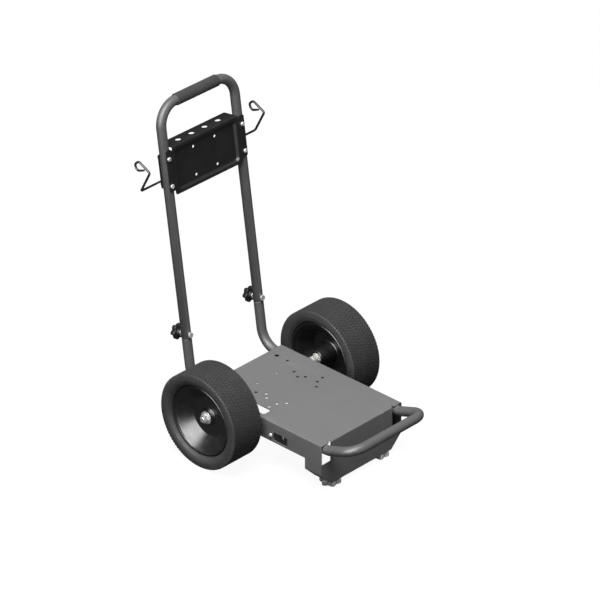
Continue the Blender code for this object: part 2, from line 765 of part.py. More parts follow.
def make_hooks(look):
    """Bent wire hose hooks, each ending in a small eye."""
    wire_plane = -TUBE_RADIUS - GAP - 0.003 - GAP - HOOK_WIRE
    for side, label, level in ((-1, "left", HOOK_LEVELS[0]), (1, "right", HOOK_LEVELS[1])):
        start = on_upright(side * 0.118, wire_plane, level)
        elbow = on_upright(side * 0.200, wire_plane, level)
        crest = elbow + Vector((0, -0.0315, 0.0605))
        eye_top = crest + Vector((0, 0.0375, 0.0185))
        eye_back = crest + Vector((0, 0.0525, 0.0060))
        eye_low = crest + Vector((0, 0.0430, -0.0090))
        end = crest + Vector((0, 0.0190, 0.0008))
        corners = [start, elbow, crest, eye_top, eye_back, eye_low, end]
        path = filleted_path(corners, (0.005, 0.005, 0.009, 0.009, 0.009), 3)
        outer = [HOOK_WIRE] * len(path)
        swept(label + "_hose_hook", path, outer, None, look["tray_paint"], 8)


def build():
    """Build every piece of the cart."""
    clear_scene()
    look = make_materials()
    make_deck(look)
    make_blanking_plates(look)
    make_feet(look)
    make_bumper(look)
    make_lower_uprights(look)
    make_handle(look)
    make_knobs(look)
    make_wheels(look)
    make_axle(look)
    make_tray(look)
    make_hook_brackets(look)
    make_hooks(look)


build()
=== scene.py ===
"""Looks of the two-wheel torch cart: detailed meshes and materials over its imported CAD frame.

Metres, +Z up, -Y to the front bumper, X along the wheel axle, floor at z = 0.
"""
import bisect
import json
from math import atan2, copysign, cos, floor, hypot, pi, radians, sin, tan

import bmesh
import bpy
from mathutils import Matrix, Vector
from mathutils.geometry import delaunay_2d_cdt


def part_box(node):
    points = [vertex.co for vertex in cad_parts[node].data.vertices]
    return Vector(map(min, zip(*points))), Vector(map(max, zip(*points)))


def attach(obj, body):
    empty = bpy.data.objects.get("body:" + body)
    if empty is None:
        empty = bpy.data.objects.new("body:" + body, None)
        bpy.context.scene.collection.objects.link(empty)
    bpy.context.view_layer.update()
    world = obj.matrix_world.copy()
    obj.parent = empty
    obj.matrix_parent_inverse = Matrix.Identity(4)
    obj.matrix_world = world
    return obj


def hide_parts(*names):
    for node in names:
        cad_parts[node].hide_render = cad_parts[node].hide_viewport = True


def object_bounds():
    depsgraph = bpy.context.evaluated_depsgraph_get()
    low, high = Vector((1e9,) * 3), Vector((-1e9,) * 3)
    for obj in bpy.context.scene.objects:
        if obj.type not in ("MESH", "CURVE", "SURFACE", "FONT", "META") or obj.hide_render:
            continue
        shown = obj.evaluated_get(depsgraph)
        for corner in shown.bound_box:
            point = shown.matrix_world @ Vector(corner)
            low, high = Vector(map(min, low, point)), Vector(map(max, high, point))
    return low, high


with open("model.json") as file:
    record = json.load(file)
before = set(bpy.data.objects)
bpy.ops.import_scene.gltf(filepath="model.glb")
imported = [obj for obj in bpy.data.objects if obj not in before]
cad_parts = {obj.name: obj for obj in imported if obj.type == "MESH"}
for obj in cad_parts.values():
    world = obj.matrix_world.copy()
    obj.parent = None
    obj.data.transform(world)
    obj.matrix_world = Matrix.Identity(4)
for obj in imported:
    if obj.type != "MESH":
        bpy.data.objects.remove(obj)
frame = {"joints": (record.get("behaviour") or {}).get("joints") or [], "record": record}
cad_low, cad_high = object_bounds()

# ---- sizes read from the frame ----
RECORD = frame["record"]
JOINTS = {joint["name"]: joint for joint in frame["joints"]}
BODY_OF = {node: body for body, nodes in RECORD["behaviour"]["bodies"].items() for node in nodes}
SLOT_OF = {part["node"]: part["material_slot"] for part in RECORD["subparts"]}
SIDES = ((-1, "left"), (1, "right"))

WHEEL_CENTRE = Vector(JOINTS["right_wheel_spin"]["pos_m"])
AXLE_Y = WHEEL_CENTRE.y
KNOB_CENTRE = Vector(JOINTS["right_knob_turn"]["pos_m"])
BACKWARD = Vector(JOINTS["right_knob_turn"]["axis"]).normalized()
UPWARD = Vector((0, -BACKWARD.z, BACKWARD.y))  # along the leaning uprights
UPRIGHT_X = KNOB_CENTRE.x
TYRE_LOW, TYRE_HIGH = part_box("right_wheel_tyre")
WHEEL_WIDTH = TYRE_HIGH.x - TYRE_LOW.x
WHEEL_RADIUS = TYRE_HIGH.z / 2

# ---- driving dimensions, as the CAD has them ----
TURN = 2 * pi
NEARLY_STRAIGHT = radians(89)  # half angle of a corner too flat to round
CREASE = radians(38)  # edges bent more than this stay crisp
GAP = 0.0003  # clearance between neighbouring pieces
SHEET = 0.002  # folded sheet thickness
SHEET_BEND = 0.003  # outside radius of the folds

TUBE_RADIUS = 0.0127
TUBE_WALL = 0.0015
TUBE_EDGE = 0.0004  # rounding of the open ends
BEND_RADIUS = 0.057
TUBE_SIDES = 48

DECK_HALF = 0.1435
DECK_TOP = 0.1355
DECK_FRONT = -0.306  # distances along Y are measured from the axle
DECK_REAR = 0.100
SKIRT_BOTTOM = 0.080
LEG_BOTTOM = 0.050
LEG_LENGTH = 0.055
FLANGE_BOTTOM = 0.015
FLANGE_OUTER = 0.108
FLANGE_INNER = 0.058
NOTCH_INNER = 0.110
RELIEF_WIDTH = 0.006  # bend relief beside the front fold
TUBE_LEVEL = DECK_TOP - SHEET - GAP - TUBE_RADIUS

KNOB_HEIGHT = 0.119  # distances up the leaning uprights, from their base point
SEAM = 0.108
SPIGOT_TOP = 0.160
SPIGOT_RADIUS = 0.0108
HANDLE_TOP = 0.724
GRIP_RADIUS = 0.0153
GRIP_HALF = 0.0705
BASE_Y = 0.151
BASE_Z = 0.136

BUMPER_REACH = 0.399
BUMPER_RISE = radians(19.5)
BUMPER_BEND = 0.040
BUMPER_LIFT_BEND = 0.050
BUMPER_TAIL = -0.150  # ends of the tubes under the deck
UPRIGHT_TAIL = 0.022

RIM_HALF = 0.0475  # half width of the hub with the tyre beads on it
BOSS_OUTER = 0.2257  # ends of the hub's boss from the cart's middle
BOSS_INNER = 0.1650
BOSS_OUT = BOSS_OUTER - WHEEL_CENTRE.x  # and from the wheel's middle
BOSS_IN = BOSS_INNER - WHEEL_CENTRE.x
BUSH_SEAT = 0.0104
BUSH_LENGTH = 0.018
BUSH_FLANGE = 0.002
AXLE_RADIUS = 0.006
AXLE_BORE = AXLE_RADIUS + GAP
AXLE_HALF = 0.243
AXLE_PITCH = 0.00175
AXLE_WASHER = 0.0025
AXLE_WASHER_RADIUS = 0.0165
AXLE_NUT_FLATS = 0.0095
AXLE_NUT_HEIGHT = 0.010
SPACER_RADIUS = 0.0105

BOLT_RADIUS = 0.004
BOLT_HOLE = 0.0044
BOLT_PITCH = 0.00125
KNOB_WASHER = 0.0015
KNOB_WASHER_RADIUS = 0.009
STAMPED_EDGES = (0.0002, 0.0003, 0.0006, 0.0003)  # fillets of a washer
SCREW_RADIUS = 0.003
SCREW_HOLE = 0.0033
TRAY_HOLE = 0.0034
SCREW_PITCH = 0.001
HEAD_HEIGHT = 0.0035
NUT_HEIGHT = 0.005
NUT_FLATS = 0.005  # half the width across the flats
THREAD_DEPTH = 0.0005
THREAD_CHAMFER = 0.0004

TRAY_SCREWS = (0.519, 0.5905)
TRAY_BOTTOM = 0.492
TRAY_TOP = 0.617
TRAY_SHEET = 0.0015
TRAY_BEND = 0.0025
TRAY_BODY = 0.117  # half widths of the tray plate, its ears, shelf and pan
TRAY_EAR = 0.135
TRAY_SHELF = 0.113
PAN_HALF = 0.106
PAN_DEPTH = 0.007
PAN_DRAFT = 0.005
PAN_LOW = TRAY_BOTTOM + 0.0075  # levels of its mouth, and the corner radius
PAN_HIGH = TRAY_TOP - 0.009
PAN_CORNER = 0.011
PAN_HOLE_X = 0.037
PAN_HOLE_LEVELS = (0.516, 0.590)
SHELF_REAR = 0.031  # rear edge of the shelf behind the tube centres
TIP_HOLE = 0.0075  # radius
TIP_HOLES_X = (0.0228, 0.0688)

HOOK_WIRE = 0.0030
HOOK_LEVELS = (0.527, 0.540)  # left and right
HOOK_START_X = 0.118
HOOK_ELBOW_X = 0.200
HOOK_CREST = (-0.0315, 0.0605)  # along Y and up from the elbow
HOOK_EYE = ((0.0375, 0.0185), (0.0525, 0.0060), (0.0430, -0.0090), (0.0190, 0.0008))  # from there
BRACKET_THICK = 0.003

FOOT_X = 0.086
FOOT_Y = -0.282
FOOT_RADIUS = 0.0275
FOOT_RECESS = 0.007
PLATE_SCREW_Y = -0.136
PLATE_SCREW_Z = 0.097
RIB_EDGE = 0.0018  # width of the rounded edge of the blanking plate's rib
RIB_LOW = (-0.179, 0.0875)  # the rib's foot, along the skirt and up
RIB_HIGH = (-0.169, 0.1065)


# ---- places ----
def at(x, y, z):
    """Placement square to the cart, Y measured from the axle."""
    return Matrix.Translation((x, AXLE_Y + y, z))


def along_x(side, y, z):
    """Placement with its Z axis outward along the axle on one side."""
    return at(0, y, z) @ Matrix.Rotation(side * pi / 2, 4, "Y")


def on_upright(x, forward, up):
    """World point given across, ahead of and up the leaning plane."""
    knob = Vector((x, KNOB_CENTRE.y, KNOB_CENTRE.z))
    return knob - BACKWARD * forward + UPWARD * (up - KNOB_HEIGHT)


def upright_axis(x, up):
    """Placement on the leaning plane with its Z axis squarely forward."""
    forward = -BACKWARD
    across = UPWARD.cross(forward)
    turn = Matrix((across, UPWARD, forward)).transposed().to_4x4()
    return Matrix.Translation(on_upright(x, 0, up)) @ turn


# ---- outlines and paths ----
def filleted(corners, radii, steps, closed=False):
    """Points of a line through the corners, each rounded to its radius."""
    corners = [Vector(corner) for corner in corners]
    count = len(corners)
    path = []
    for i, (corner, radius) in enumerate(zip(corners, radii)):
        if radius <= 0 or (not closed and i in (0, count - 1)):
            path.append(corner)
            continue
        back = corners[i - 1] - corner
        ahead = corners[(i + 1) % count] - corner
        half = back.angle(ahead) / 2
        if half > NEARLY_STRAIGHT:
            path.append(corner)
            continue
        reach = min(radius / tan(half), back.length * 0.499, ahead.length * 0.499)
        fitted = reach * tan(half)
        back.normalize()
        ahead.normalize()
        centre = corner + (back + ahead).normalized() * fitted / sin(half)
        start = corner + back * reach - centre
        end = corner + ahead * reach - centre
        sweep = start.angle(end)
        for step in range(steps + 1):
            share = step / steps
            mixed = start * sin((1 - share) * sweep) + end * sin(share * sweep)
            path.append(centre + mixed / sin(sweep))
    return path


def rounded(corners, steps, closed=True):
    """Flat outline or profile from (x, y, fillet radius) corners."""
    return filleted([c[:2] for c in corners], [c[2] for c in corners], steps, closed)


def mirrored(half):
    """The same corners in reverse order, on the other side of zero."""
    return [(-first, *rest) for first, *rest in reversed(half)]


def rounded_box(low, high, radius, steps=8):
    """Outline of a rectangle with rounded corners."""
    corners = [low, (high[0], low[1]), high, (low[0], high[1])]
    return filleted(corners, [radius] * 4, steps, closed=True)


def circle(centre, radius, sides=32):
    """Outline of a round hole."""
    turn = TURN / sides
    return [Vector((centre[0] + radius * cos(turn * i), centre[1] + radius * sin(turn * i)))
            for i in range(sides)]


class Section:
    """Folded line, read by the length along it."""

    def __init__(self, corners, radius):
        self.points = filleted(corners, [radius] * len(corners), 6)
        self.lengths = [0.0]
        for before, after in zip(self.points, self.points[1:]):
            self.lengths.append(self.lengths[-1] + (after - before).length)

    def at(self, length):
        """Point at a length along the line, straight on beyond its ends."""
        i = max(0, min(bisect.bisect_right(self.lengths, length) - 1, len(self.points) - 2))
        share = (length - self.lengths[i]) / (self.lengths[i + 1] - self.lengths[i])
        return self.points[i].lerp(self.points[i + 1], share)

    def length_at(self, height):
        """Length at which the line, falling from its start, reaches a height."""
        for i, (before, after) in enumerate(zip(self.points, self.points[1:])):
            if after.y <= height < before.y:
                share = (before.y - height) / (before.y - after.y)
                return self.lengths[i] + share * (self.lengths[i + 1] - self.lengths[i])
        return self.lengths[-1]


# ---- meshes ----
def placed(name, data):
    """New object in the scene for a mesh, a light or a camera."""
    thing = bpy.data.objects.new(name, data)
    bpy.context.scene.collection.objects.link(thing)
    return thing


def band(here, there, count):
    """Faces between two rings of points, given where each starts in the list."""
    return [(here + i, here + (i + 1) % count, there + (i + 1) % count, there + i)
            for i in range(count)]


def make_mesh(points, faces, place=Matrix.Identity(4), sharp=CREASE):
    """One smooth-shaded object with outward faces, its points moved to their place."""
    mesh = bpy.data.meshes.new("part")
    mesh.from_pydata([place @ Vector(point) for point in points], [], faces)
    shell = bmesh.new()
    shell.from_mesh(mesh)
    bmesh.ops.recalc_face_normals(shell, faces=shell.faces)
    shell.to_mesh(mesh)
    shell.free()
    mesh.shade_smooth()
    mesh.set_sharp_from_angle(angle=sharp)
    return placed("part", mesh)


def stand_for(part, node):
    """Let the piece stand for its CAD node, on the same body and with the same finish."""
    part.name = node + "_detail"
    part.data.materials.clear()
    part.data.materials.append(FINISHES[SLOT_OF[node]])
    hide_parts(node)
    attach(part, BODY_OF[node])


def carve(part, cutters):
    """Cut the other shapes out of the part."""
    for cutter in cutters:
        step = part.modifiers.new("step", "BOOLEAN")
        step.operation = "DIFFERENCE"
        step.solver = "EXACT"
        step.object = cutter
        bpy.context.view_layer.update()
        result = part.evaluated_get(bpy.context.evaluated_depsgraph_get())
        mesh = bpy.data.meshes.new_from_object(result)
        part.modifiers.clear()
        part.data = mesh
        bpy.data.objects.remove(cutter, do_unlink=True)
    part.data.shade_smooth()
    part.data.set_sharp_from_angle(angle=CREASE)


def turned(rings, place, segments, closed=False, reach=None):
    """Turn (along local Z, radius) rings into one solid; reach may shape each radius."""
    points = []
    starts = []
    for along, radius in rings:
        starts.append(len(points))
        if radius == 0:
            points.append((0, 0, along))
            continue
        for i in range(segments):
            angle = TURN * i / segments
            out = reach(angle, along, radius) if reach else radius
            points.append((out * cos(angle), out * sin(angle), along))
    faces = []
    for k in range(len(rings) if closed else len(rings) - 1):
        after = (k + 1) % len(rings)
        here, there = starts[k], starts[after]
        strip = band(here, there, segments)
        if rings[k][1] == 0:
            strip = [(here, face[3], face[2]) for face in strip]
        elif rings[after][1] == 0:
            strip = [(face[0], face[1], there) for face in strip]
        faces += strip
    return make_mesh(points, faces, place)


def sleeve(node, ends, radii, fillets, place, segments, steps=3):
    """Washer or sleeve between two levels, its fillets listed from the bore's low end round."""
    (low, high), (bore, outside) = ends, radii
    corners = list(zip((low, low, high, high), (bore, outside, outside, bore), fillets))
    rings = rounded(corners, steps)
    stand_for(turned(rings, place, segments, closed=True), node)


def swept(path, radii, bores=None, sides=TUBE_SIDES):
    """Sweep a round section along a path; bores make it an open-ended tube."""
    points = []
    across = None
    for i, place in enumerate(path):
        into = (place - path[i - 1]).normalized() if i else (path[1] - place).normalized()
        out = (path[i + 1] - place).normalized() if i < len(path) - 1 else into
        tangent = (into + out).normalized()
        if across is None:
            across = Vector((1, 0, 0)) if abs(tangent.x) < 0.9 else Vector((0, 1, 0))
        across = (across - tangent * across.dot(tangent)).normalized()
        other = tangent.cross(across)
        for radius in (radii[i], bores[i]) if bores else (radii[i],):
            for k in range(sides):
                angle = TURN * k / sides
                points.append(place + (across * cos(angle) + other * sin(angle)) * radius)
    stride = 2 * sides if bores else sides
    faces = []
    for first in range(0, (len(path) - 1) * stride, sides):
        faces += band(first, first + stride, sides)
    for first in (0, (len(path) - 1) * stride):
        if bores:
            faces += band(first, first + sides, sides)
        else:
            faces.append(tuple(range(first, first + sides)))
    return make_mesh(points, faces)


def tube(path, radii=None):
    """Open tube of even wall along a path, the outer edge of each end rounded."""
    def softened(end, before):
        step = (before - end).normalized()
        return [end, end + step * TUBE_EDGE * 0.4, end + step * TUBE_EDGE]
    radii = radii or [TUBE_RADIUS] * len(path)
    bores = [radius - TUBE_WALL for radius in radii]
    eased = [TUBE_EDGE, TUBE_EDGE * 0.35, 0]
    path = softened(path[0], path[1]) + path[1:-1] + softened(path[-1], path[-2])[::-1]
    radii = [radii[0] - cut for cut in eased] + radii[1:-1] + [radii[-1] - cut for cut in eased[::-1]]
    bores = [bores[0]] * 3 + bores[1:-1] + [bores[-1]] * 3
    return swept(path, radii, bores)


def inside(point, loops):
    """True if a flat point is inside the first loop and outside the holes."""
    x, y = point
    odd = False
    for loop in loops:
        for i, (end_x, end_y) in enumerate(loop):
            start_x, start_y = loop[i - 1]
            if (start_y > y) != (end_y > y):
                cross = start_x + (y - start_y) * (end_x - start_x) / (end_y - start_y)
                if x < cross:
                    odd = not odd
    return odd


def rim_normals(mesh, rims):
    """Normals of the cut edges, smooth round holes and crisp at corners."""
    meeting = {}
    for face in rims:
        for i in face.vertices:
            meeting.setdefault(i, []).append(face.normal.copy())
    return {(face.index, i): sum((other for other in meeting[i] if other.dot(face.normal) > 0.8),
                                 Vector()).normalized()
            for face in rims for i in face.vertices}


def formed_sheet(loops, guides, surface, thickness, way=1):
    """Cut a flat blank with holes and form it by a surface; way -1 turns it inside out.

    Guides are loops, or straight lines of two points, that the mesh has to follow.
    """
    flat = []
    edges = []
    for line in loops + guides:
        first = len(flat)
        flat += [Vector((point[0], point[1])) for point in line]
        edges += [(first + i, first + i + 1) for i in range(len(line) - 1)]
        if len(line) > 2:
            edges.append((len(flat) - 1, first))
    flat, _, triangles = delaunay_2d_cdt(flat, edges, [], 0, 1e-7)[:3]
    kept = [face[::way] for face in triangles
            if inside(sum((flat[i] for i in face), Vector((0, 0))) / 3, loops)]
    used = sorted({i for face in kept for i in face})
    number = {old: new for new, old in enumerate(used)}
    kept = [tuple(number[i] for i in face) for face in kept]
    probe = 2e-5
    front = []
    normals = []
    for i in used:
        u, v = flat[i]
        along_u = surface(u + probe, v) - surface(u - probe, v)
        along_v = surface(u, v + probe) - surface(u, v - probe)
        front.append(surface(u, v))
        normals.append(along_u.cross(along_v).normalized() * way)
    count = len(front)
    back = [point - normal * thickness for point, normal in zip(front, normals)]
    faces = kept + [tuple(i + count for i in reversed(face)) for face in kept]
    sides = {(a, b) for face in kept for a, b in zip(face, face[1:] + face[:1])}
    faces += [(b, a, a + count, b + count) for a, b in sorted(sides) if (b, a) not in sides]
    mesh = bpy.data.meshes.new("sheet")
    mesh.from_pydata(front + back, [], faces)
    mesh.shade_smooth()
    rims = rim_normals(mesh, [face for face in mesh.polygons if len(face.vertices) == 4])
    both = normals + [-normal for normal in normals]
    mesh.normals_split_custom_set([rims.get((face.index, i), both[i])
                                   for face in mesh.polygons for i in face.vertices])
    return placed("sheet", mesh)


# ---- node materials ----
class Finish:
    """Principled material with noise-driven layers."""

    def __init__(self, name, colour, roughness, **sockets):
        self.material = bpy.data.materials.new(name)
        self.material.use_nodes = True
        self.tree = self.material.node_tree
        self.shader = self.tree.nodes["Principled BSDF"]
        self.shader.inputs["Base Color"].default_value = (*colour, 1)
        self.shader.inputs["Roughness"].default_value = roughness
        for socket, value in sockets.items():
            self.shader.inputs[socket.replace("_", " ")].default_value = value
        self.place = self.tree.nodes.new("ShaderNodeTexCoord").outputs["Object"]
        self.colour = (*colour, 1)
        self.bumped = None

    def feed(self, socket, value):
        """Link or set an input."""
        if isinstance(value, bpy.types.NodeSocket):
            self.tree.links.new(value, socket)
        else:
            socket.default_value = value

    def node(self, kind, **inputs):
        """Add a node and feed its inputs by name."""
        made = self.tree.nodes.new("ShaderNode" + kind)
        for name, value in inputs.items():
            self.feed(made.inputs[name.replace("_", " ")], value)
        return made

    def noise(self, scale, detail, where=None, roughness=0.5):
        """Noise value at a scale in features per metre."""
        made = self.node("TexNoise", Vector=where or self.place, Scale=scale, Detail=detail,
                         Roughness=roughness)
        return made.outputs["Fac"]

    def between(self, value, low, high, out_low, out_high):
        """Remap a value from one range to another, held at the ends."""
        made = self.node("MapRange", Value=value, From_Min=low, From_Max=high, To_Min=out_low,
                         To_Max=out_high)
        return made.outputs["Result"]

    def layer(self, factor, colour):
        """Mix another colour over the current one by a factor."""
        made = self.tree.nodes.new("ShaderNodeMix")
        made.data_type = "RGBA"
        self.feed(made.inputs["Factor"], factor)
        self.feed(made.inputs["A"], self.colour)
        self.feed(made.inputs["B"], (*colour, 1))
        self.colour = made.outputs["Result"]
        self.feed(self.shader.inputs["Base Color"], self.colour)

    def patches(self, scale, detail, span, strength, colour):
        """Mix in a colour where a noise rises through a span of values."""
        self.layer(self.between(self.noise(scale, detail), *span, 0, strength), colour)

    def uneven(self, scale, detail, low, high):
        """Let the roughness wander between two values."""
        value = self.between(self.noise(scale, detail), 0.3, 0.7, low, high)
        self.feed(self.shader.inputs["Roughness"], value)

    def bump(self, height, distance, strength=1.0):
        """Add relief of a real height in metres."""
        made = self.node("Bump", Height=height, Distance=distance, Strength=strength)
        if self.bumped:
            self.feed(made.inputs["Normal"], self.bumped)
        self.bumped = made.outputs["Normal"]
        self.feed(self.shader.inputs["Normal"], self.bumped)


def shade(colour, factor):
    """A colour made lighter or darker."""
    return tuple(channel * factor for channel in colour)


def powder_coat(name, colour, roughness, peel, shine=0.5):
    """Baked powder paint: orange peel, faint cloudiness and a few rubbed patches."""
    finish = Finish(name, colour, roughness, Specular_IOR_Level=shine)
    finish.patches(7, 3, (0.3, 0.7), 0.55, shade(colour, 0.90))
    finish.patches(1900, 1, (0.45, 0.75), 0.5, shade(colour, 1.16))
    drawn = finish.node("Mapping", Vector=finish.place, Scale=(6, 1.2, 1.2)).outputs["Vector"]
    rubbed = finish.noise(3.2, 5, drawn, 0.68)
    finish.layer(finish.between(rubbed, 0.60, 0.74, 0, 0.45), shade(colour, 1.30))
    finish.uneven(28, 3, roughness - 0.05, roughness + 0.06)
    finish.bump(finish.noise(420, 2), peel)
    return finish.material


def tyre_rubber(name):
    """Matt black rubber with mould grain and a little dust."""
    finish = Finish(name, (0.049, 0.049, 0.050), 0.62, Specular_IOR_Level=0.4)
    finish.patches(9, 4, (0.42, 0.72), 0.6, (0.064, 0.063, 0.061))
    finish.patches(620, 2, (0.5, 0.8), 0.5, (0.078, 0.077, 0.075))
    finish.uneven(40, 3, 0.54, 0.72)
    finish.bump(finish.noise(1400, 3), 0.00010)
    finish.bump(finish.noise(130, 2), 0.00012, 0.6)
    return finish.material


def hub_plastic(name):
    """Gloss black moulding with faint flow ripple."""
    finish = Finish(name, (0.010, 0.010, 0.011), 0.31, Specular_IOR_Level=0.85)
    finish.patches(30, 4, (0.45, 0.75), 0.5, (0.017, 0.017, 0.018))
    finish.uneven(55, 4, 0.27, 0.36)
    finish.bump(finish.noise(48, 2), 0.00010, 0.5)
    finish.bump(finish.noise(1500, 1), 0.000012)
    return finish.material


def grip_foam(name):
    """Closed-cell foam sleeve with open skin pores, their hollows darkened by painted shade."""
    finish = Finish(name, (0.040, 0.040, 0.041), 0.86, Sheen_Weight=0.15)
    pores_and_pore_shade = finish.node("TexVoronoi", Vector=finish.place, Scale=1100).outputs["Distance"]
    # painted shade: the base colour is darkened at the pore pits; the same pattern also gives the
    # pores' real relief
    finish.layer(finish.between(pores_and_pore_shade, 0.05, 0.45, 0.7, 0), (0.020, 0.020, 0.020))
    finish.patches(25, 4, (0.4, 0.7), 0.6, (0.056, 0.055, 0.054))
    finish.bump(pores_and_pore_shade, 0.00022)
    finish.bump(finish.noise(260, 3), 0.00018, 0.7)
    return finish.material


def moulded(name, colour, roughness, grain):
    """Spark-textured moulded plastic or rubber."""
    finish = Finish(name, colour, roughness)
    finish.patches(45, 4, (0.4, 0.7), 0.6, shade(colour, 1.35))
    finish.patches(900, 2, (0.5, 0.8), 0.5, shade(colour, 0.75))
    finish.uneven(70, 3, roughness - 0.06, roughness + 0.08)
    finish.bump(finish.noise(1700, 2), grain)
    return finish.material


def bright_zinc(name):
    """Zinc-plated steel with drawn marks and patchy passivation."""
    finish = Finish(name, (0.93, 0.93, 0.92), 0.24, Metallic=0.5)
    finish.patches(120, 4, (0.4, 0.7), 0.55, (0.80, 0.81, 0.83))
    finish.patches(35, 2, (0.5, 0.8), 0.35, (0.78, 0.75, 0.66))
    finish.uneven(320, 3, 0.16, 0.34)
    finish.bump(finish.noise(900, 3), 0.00002)
    return finish.material


FINISHES = {
    "deck_paint": powder_coat("deck_powder_coat", (0.225,) * 3, 0.47, 0.00003),
    "tube_paint": powder_coat("tube_powder_coat", (0.165,) * 3, 0.40, 0.00003),
    "tray_paint": powder_coat("tray_powder_coat", (0.013,) * 3, 0.42, 0.00004, 0.8),
    "tyre_rubber": tyre_rubber("tyre_tread_rubber"),
    "hub_plastic": hub_plastic("hub_gloss_moulding"),
    "grip_foam": grip_foam("grip_closed_cell_foam"),
    "knob_plastic": moulded("knob_black_moulding", (0.014,) * 3, 0.42, 0.00004),
    "foot_rubber": moulded("foot_grey_rubber", (0.88, 0.88, 0.87), 0.50, 0.00005),
    "bush_nylon": moulded("bush_natural_nylon", (0.56, 0.55, 0.50), 0.38, 0.00002),
    "bright_zinc": bright_zinc("zinc_plated_steel"),
}


# ---- deck ----
SIDE_SECTION = Section([(0, DECK_TOP), (DECK_HALF, DECK_TOP), (DECK_HALF, LEG_BOTTOM),
                        (FLANGE_OUTER, FLANGE_BOTTOM), (FLANGE_INNER, FLANGE_BOTTOM)], SHEET_BEND)
FRONT_SECTION = Section([(DECK_REAR, DECK_TOP), (DECK_FRONT, DECK_TOP),
                         (DECK_FRONT, FLANGE_BOTTOM)], SHEET_BEND)
DECK_LENGTH = DECK_REAR - DECK_FRONT
FRONT_FOLD = DECK_LENGTH - SHEET_BEND
DECK_HOLES = (  # distance from the centre line, distance along Y, radius
    (0.095, 0.0715, 0.0060), (0.095, 0.035, 0.0040), (0.095, -0.085, 0.0040),
    (0.068, -0.014, 0.0040), (0.056, -0.037, 0.0040), (0.069, -0.051, 0.0040),
    (0.072, -0.089, 0.0040), (0.053, -0.104, 0.0040), (0.034, 0.014, 0.0030),
)
HOSE_SLOT = ((-0.131, -0.050), (-0.105, -0.101))
WINDOW_ENDS = (-0.145, -0.192)  # of the windows in the skirts, along Y, and their levels
WINDOW_LEVELS = (0.085, 0.109)


def deck_surface(u, v):
    """Outside face of the deck: u across the blank, v forward from the rear edge."""
    if v > DECK_LENGTH + GAP or (v > FRONT_FOLD and abs(u) < NOTCH_INNER + RELIEF_WIDTH / 2):
        y, z = FRONT_SECTION.at(v)
        return Vector((u, AXLE_Y + y, z))
    x, z = SIDE_SECTION.at(abs(u))
    return Vector((copysign(x, u), AXLE_Y + DECK_REAR - v, z))


def deck_blank():
    """Outline of the flat blank: deck, skirts, legs and front panel."""
    skirt = SIDE_SECTION.length_at(SKIRT_BOTTOM)
    flange = SIDE_SECTION.lengths[-1]
    clear = SHEET + GAP
    panel_side = DECK_HALF - clear
    slope = clear * tan(pi / 8)
    level = FRONT_SECTION.length_at
    leg = DECK_LENGTH - LEG_LENGTH
    relief = DECK_LENGTH - 0.0055
    notch = NOTCH_INNER + RELIEF_WIDTH
    half = [
        (skirt, 0, 0.002), (skirt, leg, 0.002),
        (flange, leg, 0.003), (flange, DECK_LENGTH, 0.001),
        (notch, DECK_LENGTH, 0.0005), (notch, relief, 0.0026),
        (NOTCH_INNER, relief, 0.0026), (NOTCH_INNER, level(SKIRT_BOTTOM), 0.003),
        (panel_side, level(SKIRT_BOTTOM), 0.0008), (panel_side, level(LEG_BOTTOM + slope), 0),
        (FLANGE_OUTER - slope, level(FLANGE_BOTTOM + clear), 0),
        (FLANGE_INNER - GAP, level(FLANGE_BOTTOM + clear), 0),
        (FLANGE_INNER - GAP, FRONT_SECTION.lengths[-1], 0.0005),
    ]
    return rounded(half + mirrored(half), 5)


def deck_holes():
    """Equipment holes, mirrored about the centre line, and the hose slot."""
    holes = [circle((side * x, DECK_REAR - y), radius, 24)
             for x, y, radius in DECK_HOLES for side, _ in SIDES]
    low, high = [(x, DECK_REAR - y) for x, y in HOSE_SLOT]
    return holes + [rounded_box(low, high, 0.006)]


def make_deck():
    """Fold the deck from one blank."""
    loops = [deck_blank()] + deck_holes()
    height = SIDE_SECTION.length_at
    for side, _ in SIDES:
        loops.append(circle((side * height(WHEEL_CENTRE.z), DECK_REAR), AXLE_BORE))
        foot = SIDE_SECTION.lengths[-1] - (FOOT_X - FLANGE_INNER)
        for u, y in ((height(PLATE_SCREW_Z), PLATE_SCREW_Y), (foot, FOOT_Y)):
            loops.append(circle((side * u, DECK_REAR - y), SCREW_HOLE, 20))
        edges = sorted(side * height(level) for level in WINDOW_LEVELS)
        low, high = [(u, DECK_REAR - y) for u, y in zip(edges, WINDOW_ENDS)]
        loops.append(rounded_box(low, high, 0.004, 5))
    guides = [[(side * length, -0.01), (side * length, DECK_LENGTH + 0.001)]
              for length in SIDE_SECTION.lengths[1:-1] for side, _ in SIDES]
    fold = NOTCH_INNER + 0.001
    guides += [[(-fold, length), (fold, length)] for length in FRONT_SECTION.lengths[1:-1]]
    stand_for(formed_sheet(loops, guides, deck_surface, SHEET, -1), "deck_plate")


def make_blanking_plates():
    """Ribbed plates screwed inside the skirts behind the side windows."""
    inner = DECK_HALF - SHEET - GAP
    rise = DECK_HALF - 0.0005 - inner
    outline = rounded_box((-0.197, 0.082), (-0.125, 0.112), 0.003, 4)
    hole = circle((PLATE_SCREW_Y, PLATE_SCREW_Z), SCREW_HOLE, 20)
    guides = []
    for step in range(5):
        inset = RIB_EDGE * step / 4
        low, high = [edge + inset for edge in RIB_LOW], [edge - inset for edge in RIB_HIGH]
        guides.append(rounded_box(low, high, 0, 1))
    for side, label in SIDES:
        def surface(u, v, side=side):
            from_edge = min(u - RIB_LOW[0], RIB_HIGH[0] - u, v - RIB_LOW[1], RIB_HIGH[1] - v)
            lift = max(0.0, min(1.0, from_edge / RIB_EDGE))
            return Vector((side * (inner + rise * lift * lift * (3 - 2 * lift)), AXLE_Y + u, v))
        plate = formed_sheet([outline, hole], guides, surface, SHEET, side)
        stand_for(plate, label + "_blanking_plate")


